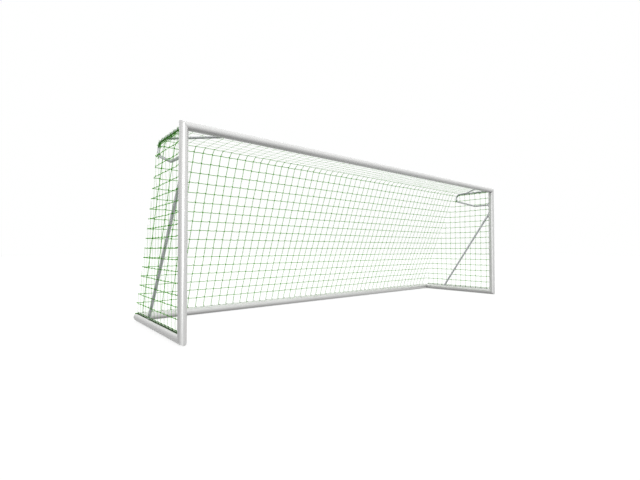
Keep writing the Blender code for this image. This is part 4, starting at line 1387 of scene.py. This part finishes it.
# back panel
rows_back = list(range(1, 18))
P = np.full((len(rows_back), len(COLUMNS_X), 3), np.nan)
for i, k in enumerate(rows_back):
    z = TOP_Z if k == 17 else ROW_0 + k * MESH
    for j, x in enumerate(COLUMNS_X):
        P[i, j] = (x, back_y(z), z)
P += jitter(P.shape, 0.0011)
P_BACK = P
back_out = unit(np.array((0.0, TOP_Z - LOW_Z, LOW_Y - TOP_Y)))
back_down = unit(np.array((0.0, LOW_Y - TOP_Y, LOW_Z - TOP_Z)))
rope_rear = np.array((0.0, DEPTH + REAR_OUT, B + REAR_UP))


def edge_out(z):
    """How far outside the posts' plane the rear corner of the net runs at height z."""
    return float(np.interp(z, (LOW_Z, 0.35, 0.80, 1.50, 1.90, TOP_Z), (0.0285, 0.0135, 0.0060, 0.0040, 0.0010, 0.0010)))


def rear_edge(z, side):
    return np.array((-edge_out(z) if side == "left" else SPAN + edge_out(z), back_y(z), z))


def side_out(y, z):
    """A side panel lies outside the strut and the hoop, then draws in to the rear corner."""
    low = 0.957 if z > 1.95 else 1.275 - (z - 0.12) * 0.6711 + 0.09
    f = min(1.0, max(0.0, (y - low) / (back_y(z) - low)))
    return SIDE_X + (edge_out(z) - SIDE_X) * f


def back_rows(i):
    return (
        plain([rear_edge(float(P_BACK[i, 0, 2]), "left")], back_out),
        plain([rear_edge(float(P_BACK[i, -1, 2]), "right")], back_out),
    )


def back_columns(j):
    x = COLUMNS_X[j]
    loop = rope_loop(np.array((x + 0.0088, rope_rear[1], rope_rear[2])), X, np.array((0.0, 1.0, 0.3)))
    low = (x + rng.normal(0, 0.001) + 0.004, LOW_Y - 0.002, LOW_Z - 0.004)
    return (loop + plain([low], back_out), [])


form = Form()
knotted_panel(form, P_BACK, back_out, back_rows, back_columns, back_down)
show("net_back_cords", form.mesh("net_back_cords"), NET, ["net_back"])

# roof panel, from the crossbar's rope over the fold to the back's top row
roof_rows = [FOLD_Y - ROOF_MESH * k for k in range(5, -1, -1)]
P = np.full((len(roof_rows), len(COLUMNS_X), 3), np.nan)
for i, y in enumerate(roof_rows):
    for j, x in enumerate(COLUMNS_X):
        P[i, j] = (x, y, FOLD_Z + (0.0 if i == len(roof_rows) - 1 else 0.0006))
P[:, :, 0:2] += jitter(P[:, :, 0:2].shape, 0.0011)
P[:, :, 2] += np.abs(jitter(P[:, :, 2].shape, 0.0005))
P_ROOF = P
rope_front = np.array((0.0, ROPE_UP, BAR_Z + ROPE_OUT))


def roof_rows_ends(i):
    y = float(P_ROOF[i, 0, 1])
    return (
        plain([np.array((-0.0190, y, 2.5120))], Z),
        plain([np.array((SPAN + 0.0190, y, 2.5120))], Z),
    )


def roof_columns(j):
    x = COLUMNS_X[j]
    loop = rope_loop(np.array((x + 0.0088, rope_front[1], rope_front[2])), X, np.array((0.0, -0.3, 1.0)))
    over = [
        (np.array((x, FOLD_Y + 0.010, FOLD_Z - 0.0065)), unit(np.array((0.0, 0.62, 0.78)))),
        (P_BACK[-1, j] + np.array((0.0, 0.0, 0.004)), back_out),
    ]
    return (loop + plain([np.array((x + 0.004, 0.098, FOLD_Z + 0.0006))], Z), over)


form = Form()
knotted_panel(form, P_ROOF, Z, roof_rows_ends, roof_columns, -Z, 0.34, 0.28, column=1.7, fold=0.76)
show("net_roof_cords", form.mesh("net_roof_cords"), NET, ["net_roof"])


# side panels
def side_panel(side):
    sx = -1.0 if side == "left" else 1.0

    def x_of(d):
        return -d if side == "left" else SPAN + d

    n_out = np.array((sx, 0.0, 0.0))
    rows = list(range(1, 18))
    P = np.full((len(rows), len(COLUMNS_Y), 3), np.nan)
    for i, k in enumerate(rows):
        z = ROW_0 + k * MESH
        for j, y in enumerate(COLUMNS_Y):
            if y < back_y(z) - 0.020 and (k < 17 or y < 0.90):
                P[i, j] = (x_of(side_out(y, z)), y, z)
    P += jitter(P.shape, 0.0010)

    def row_ends(i):
        z = ROW_0 + rows[i] * MESH
        if rows[i] == 17:
            first = plain([np.array((x_of(0.0270), POST_UP + 0.004, z))], n_out)
            last = plain([np.array((x_of(0.0215), 0.925, z))], n_out)
        else:
            out = post_rope_out(z + 0.0088)
            loop = rope_loop(np.array((x_of(out), POST_UP, z + 0.0088)), Z, np.array((sx, 0.3, 0.0)))
            first = loop + plain([np.array((x_of(max(out, 0.0225) + 0.001), POST_UP + 0.022, z + 0.003))], n_out)
            last = plain([rear_edge(z, side)], n_out)
        return first, last

    def column_ends(j):
        y = COLUMNS_Y[j]
        out, up = ground_rope_out(y + 0.0088), B + ground_rope_up(y + 0.0088)
        loop = rope_loop(np.array((x_of(out), y + 0.0088, up)), Y, np.array((sx, 0.0, 0.5)))
        if y < 0.90:
            top = [np.array((x_of(0.0205), y, 2.4935))]
        else:
            top = [np.array((x_of(edge_out(edge_z(y))), y, edge_z(y)))]
        return (loop + plain([np.array((x_of(max(out, 0.0205) + 0.0015), y + 0.004, up + 0.020))], n_out), plain(top, n_out))

    form = Form()
    knotted_panel(form, P, n_out, row_ends, column_ends, -Z, column=0.62)

    # row 16 is tied to the hoop at its lower rear bend
    z = ROW_0 + 16 * MESH
    tie = np.array((x_of(0.0), 0.9000, 2.3230))
    round_it, off = np.array((0.0, 0.584, 0.812)), np.array((0.0, 0.812, -0.584))
    tube(form, np.array(round_hitch(tie, round_it, n_out, HOOP_R + TIE * 1.2, 3.0, 44, TIE * 1.9)), TIE * 1.1, 6)
    knot = tie + off * (HOOP_R + TIE * 3.0)
    tube(form, np.array(round_hitch(knot, np.array((1.0, 0.0, 0.0)), off, TIE * 1.3, 2.2, 26, TIE * 1.5)), TIE * 1.1, 6)
    for way in (-1.0, 1.0):
        tails = [knot + np.array((way * 0.0022 * k, 0.0022 * k + 0.0006 * k * way, -0.0075 * k)) for k in range(5)]
        tube(form, np.array(tails), TIE, 6)

    # knots where the rows of the side and of the back meet
    corner = unit(n_out + np.array((0.0, 1.2, 0.4)))
    for k in rows:
        z = TOP_Z if k == 17 else ROW_0 + k * MESH
        tube(form, np.array(round_hitch(rear_edge(z, side), np.array((0.0, 0.0, 1.0)), corner, 0.0042, 1.6, 14, 2 * TIE)), TIE, 6)

    # net edge gathered along the hoop's outer side, with lacing round the tube
    arm = [np.array((0.0, y, HOOP_TOP_Z)) for y in np.arange(0.085, 0.815, 0.016)]
    for a in np.linspace(90, 22, 11):
        t = math.radians(a)
        arm.append(np.array((0.0, 0.810 + 0.1 * math.cos(t), 2.390 + 0.1 * math.sin(t))))
    arm = np.array(arm)
    if side == "right":
        arm[:, 0] = SPAN
    T, _, _ = transported(arm)
    up = np.cross(X, T)
    up = up * np.where(up @ np.array((0.0, 0.4, 1.0)) < 0, -1.0, 1.0)[:, None]
    s_at = np.concatenate([[0], np.cumsum(np.linalg.norm(np.diff(arm, axis=0), axis=1))])
    for q, (ang0, r, off) in enumerate(
        (
            (224, 0.0014, 0.0),
            (236, 0.0016, 0.0),
            (247, 0.0016, 0.0),
            (257, 0.0016, 0.0030),
            (266, 0.0015, 0.0150),
            (274, 0.0014, 0.0300),
            (278, 0.0014, 0.0440),
        )
    ):
        wander = 5.5 * np.sin(s_at * (7.0 + 1.3 * q) + 1.7 * q) + 3.5 * np.sin(s_at * (23.0 + 2.1 * q) + q)
        lift = 0.0006 * (1 + np.sin(s_at * (31.0 + 3.0 * q) + 2.0 * q))
        if side == "right":  # drawn tight, and kept to the tube's outer side
            ang0, r, off = 176 + 1.25 * (ang0 - 224), 0.0013, off * 0.1
        a = np.radians(ang0 + wander)
        rad = HOOP_R + r + 0.0003 + lift + off * (1 - 0.35 * np.sin(s_at * 9.0 + q) ** 2)
        pts = arm + (np.sin(a) * rad)[:, None] * up + (-np.cos(a) * rad)[:, None] * n_out
        tube(form, pts, r, 6, phase=0.7 * q, start=0.13 * q)
    turns, total, pts = 7, s_at[-1] - 0.02, []
    for k in range(turns * 16 + 1):
        f = float(np.interp(0.01 + total * k / (turns * 16), s_at, np.arange(len(arm))))
        i0 = min(int(f), len(arm) - 2)
        p = arm[i0] * (i0 + 1 - f) + arm[i0 + 1] * (f - i0)
        u = unit(up[i0] * (i0 + 1 - f) + up[i0 + 1] * (f - i0))
        a = 2 * math.pi * k / 16
        rad = HOOP_R + TIE * 0.7 + max(0.0, -math.sin(a) - 0.2) * 0.0045
        pts.append(p + u * (math.sin(a) * rad) - n_out * (math.cos(a) * rad))
    tube(form, np.array(pts), TIE * 0.6, 6)
    return form


for side in ("left", "right"):
    show(f"net_{side}_side_cords", side_panel(side).mesh(f"net_{side}_side_cords"), NET, [f"net_{side}_side"])


# border rope, held under the hooks of all six rails
def border_rope(points, seed_amp=0.0003):
    form = Form()
    pts = []
    for a, b in zip(points, points[1:]):
        a, b = np.array(a, float), np.array(b, float)
        n = max(2, int(np.linalg.norm(b - a) / 0.034))
        for k in range(n):
            pts.append(a + (b - a) * k / n)
    pts.append(np.array(points[-1], float))
    pts = np.array(pts)
    pts += rng.normal(0, seed_amp, pts.shape)
    tube(form, pts, ROPE, 8)
    return form


ropes = {
    "crossbar_border_rope": [(-0.012, ROPE_UP, BAR_Z + ROPE_OUT), (SPAN + 0.012, ROPE_UP, BAR_Z + ROPE_OUT)],
    "rear_border_rope": [(-0.0290, DEPTH + REAR_OUT, B + REAR_UP), (SPAN + 0.0290, DEPTH + REAR_OUT, B + REAR_UP)],
}
for side in ("left", "right"):

    def outer(d, side=side):
        return -d if side == "left" else SPAN + d

    ropes[f"{side}_post_border_rope"] = [
        (outer(post_rope_out(z)), POST_UP - 0.004 * eased(z, 2.40, 2.46), z) for z in np.linspace(B + GROUND_UP, 2.4690, 90)
    ]
    ropes[f"{side}_ground_border_rope"] = [
        (outer(ground_rope_out(y)), y, B + ground_rope_up(y)) for y in np.linspace(POST_UP, DEPTH + REAR_OUT, 68)
    ]
for name, points in ropes.items():
    show(name, border_rope(points).mesh(name), ROPE_FINISH, [])

# ------------------------------------------------------------- floor and light
floor_mesh = bpy.data.meshes.new("floor")
floor_mesh.from_pydata([(-60, -60, -0.0004), (60, -60, -0.0004), (60, 60, -0.0004), (-60, 60, -0.0004)], [], [(0, 1, 2, 3)])
floor = bpy.data.objects.new("floor", floor_mesh)
bpy.context.scene.collection.objects.link(floor)
m, nt, s = new_material("pale_floor")
s.inputs["Base Color"].default_value = (0.20, 0.20, 0.20, 1.0)
s.inputs["Roughness"].default_value = 0.9
s.inputs["Specular IOR Level"].default_value = 0.0
s.inputs["Emission Color"].default_value = (1.0, 1.0, 1.0, 1.0)
s.inputs["Emission Strength"].default_value = 0.80
floor_mesh.materials.append(m)
floor.visible_glossy = False
floor.visible_diffuse = False

world = bpy.data.worlds.new("studio")
bpy.context.scene.world = world
world.use_nodes = True
nt = world.node_tree
nt.nodes.clear()
out = nt.nodes.new("ShaderNodeOutputWorld")
coord = nt.nodes.new("ShaderNodeTexCoord")
split = nt.nodes.new("ShaderNodeSeparateXYZ")
nt.links.new(coord.outputs["Generated"], split.inputs[0])
height = maths(nt, "MULTIPLY_ADD", split.outputs["Z"], 0.5, 0.5)
sky = ramp(
    nt,
    height,
    [(0.0, 0.42), (0.08, 0.62), (0.24, 0.84), (0.42, 0.91), (0.52, 0.96), (0.62, 1.06), (0.82, 1.12), (1.0, 1.16)],
)
# the studio's dimmer corner, behind and to the left of the goal
toward = nt.nodes.new("ShaderNodeVectorMath")
toward.operation = "DOT_PRODUCT"
toward.inputs[1].default_value = (-0.80, 0.50, -0.33)
nt.links.new(coord.outputs["Generated"], toward.inputs[0])
side_light = ramp(nt, toward.outputs["Value"], [(0.66, 1.0), (0.86, 0.82), (1.0, 0.76)])
sky = mixed(nt, "MULTIPLY", 1.0, sky, side_light)
lit = nt.nodes.new("ShaderNodeBackground")
nt.links.new(sky, lit.inputs["Color"])
lit.inputs["Strength"].default_value = 1.05
plain = nt.nodes.new("ShaderNodeBackground")
plain.inputs["Color"].default_value = (1.0, 1.0, 1.0, 1.0)
plain.inputs["Strength"].default_value = 1.0
pick = nt.nodes.new("ShaderNodeMixShader")
path = nt.nodes.new("ShaderNodeLightPath")
nt.links.new(path.outputs["Is Camera Ray"], pick.inputs[0])
nt.links.new(lit.outputs[0], pick.inputs[1])
nt.links.new(plain.outputs[0], pick.inputs[2])
nt.links.new(pick.outputs[0], out.inputs["Surface"])


def softbox(name, at, look, size_x, size_y, watts):
    data = bpy.data.lights.new(name, "AREA")
    data.shape, data.size, data.size_y, data.energy = "RECTANGLE", size_x, size_y, watts
    ob = bpy.data.objects.new(name, data)
    bpy.context.scene.collection.objects.link(ob)
    ob.location = at
    ob.rotation_euler = (Vector(look) - Vector(at)).to_track_quat("-Z", "Y").to_euler()
    return ob


softbox("key", (-6.6, -6.3, 2.15), (-2.5, 0.0, 1.4), 2.4, 4.2, 70)
bpy.context.scene.view_settings.view_transform = "Standard"
bpy.context.scene.view_settings.gamma = 0.55
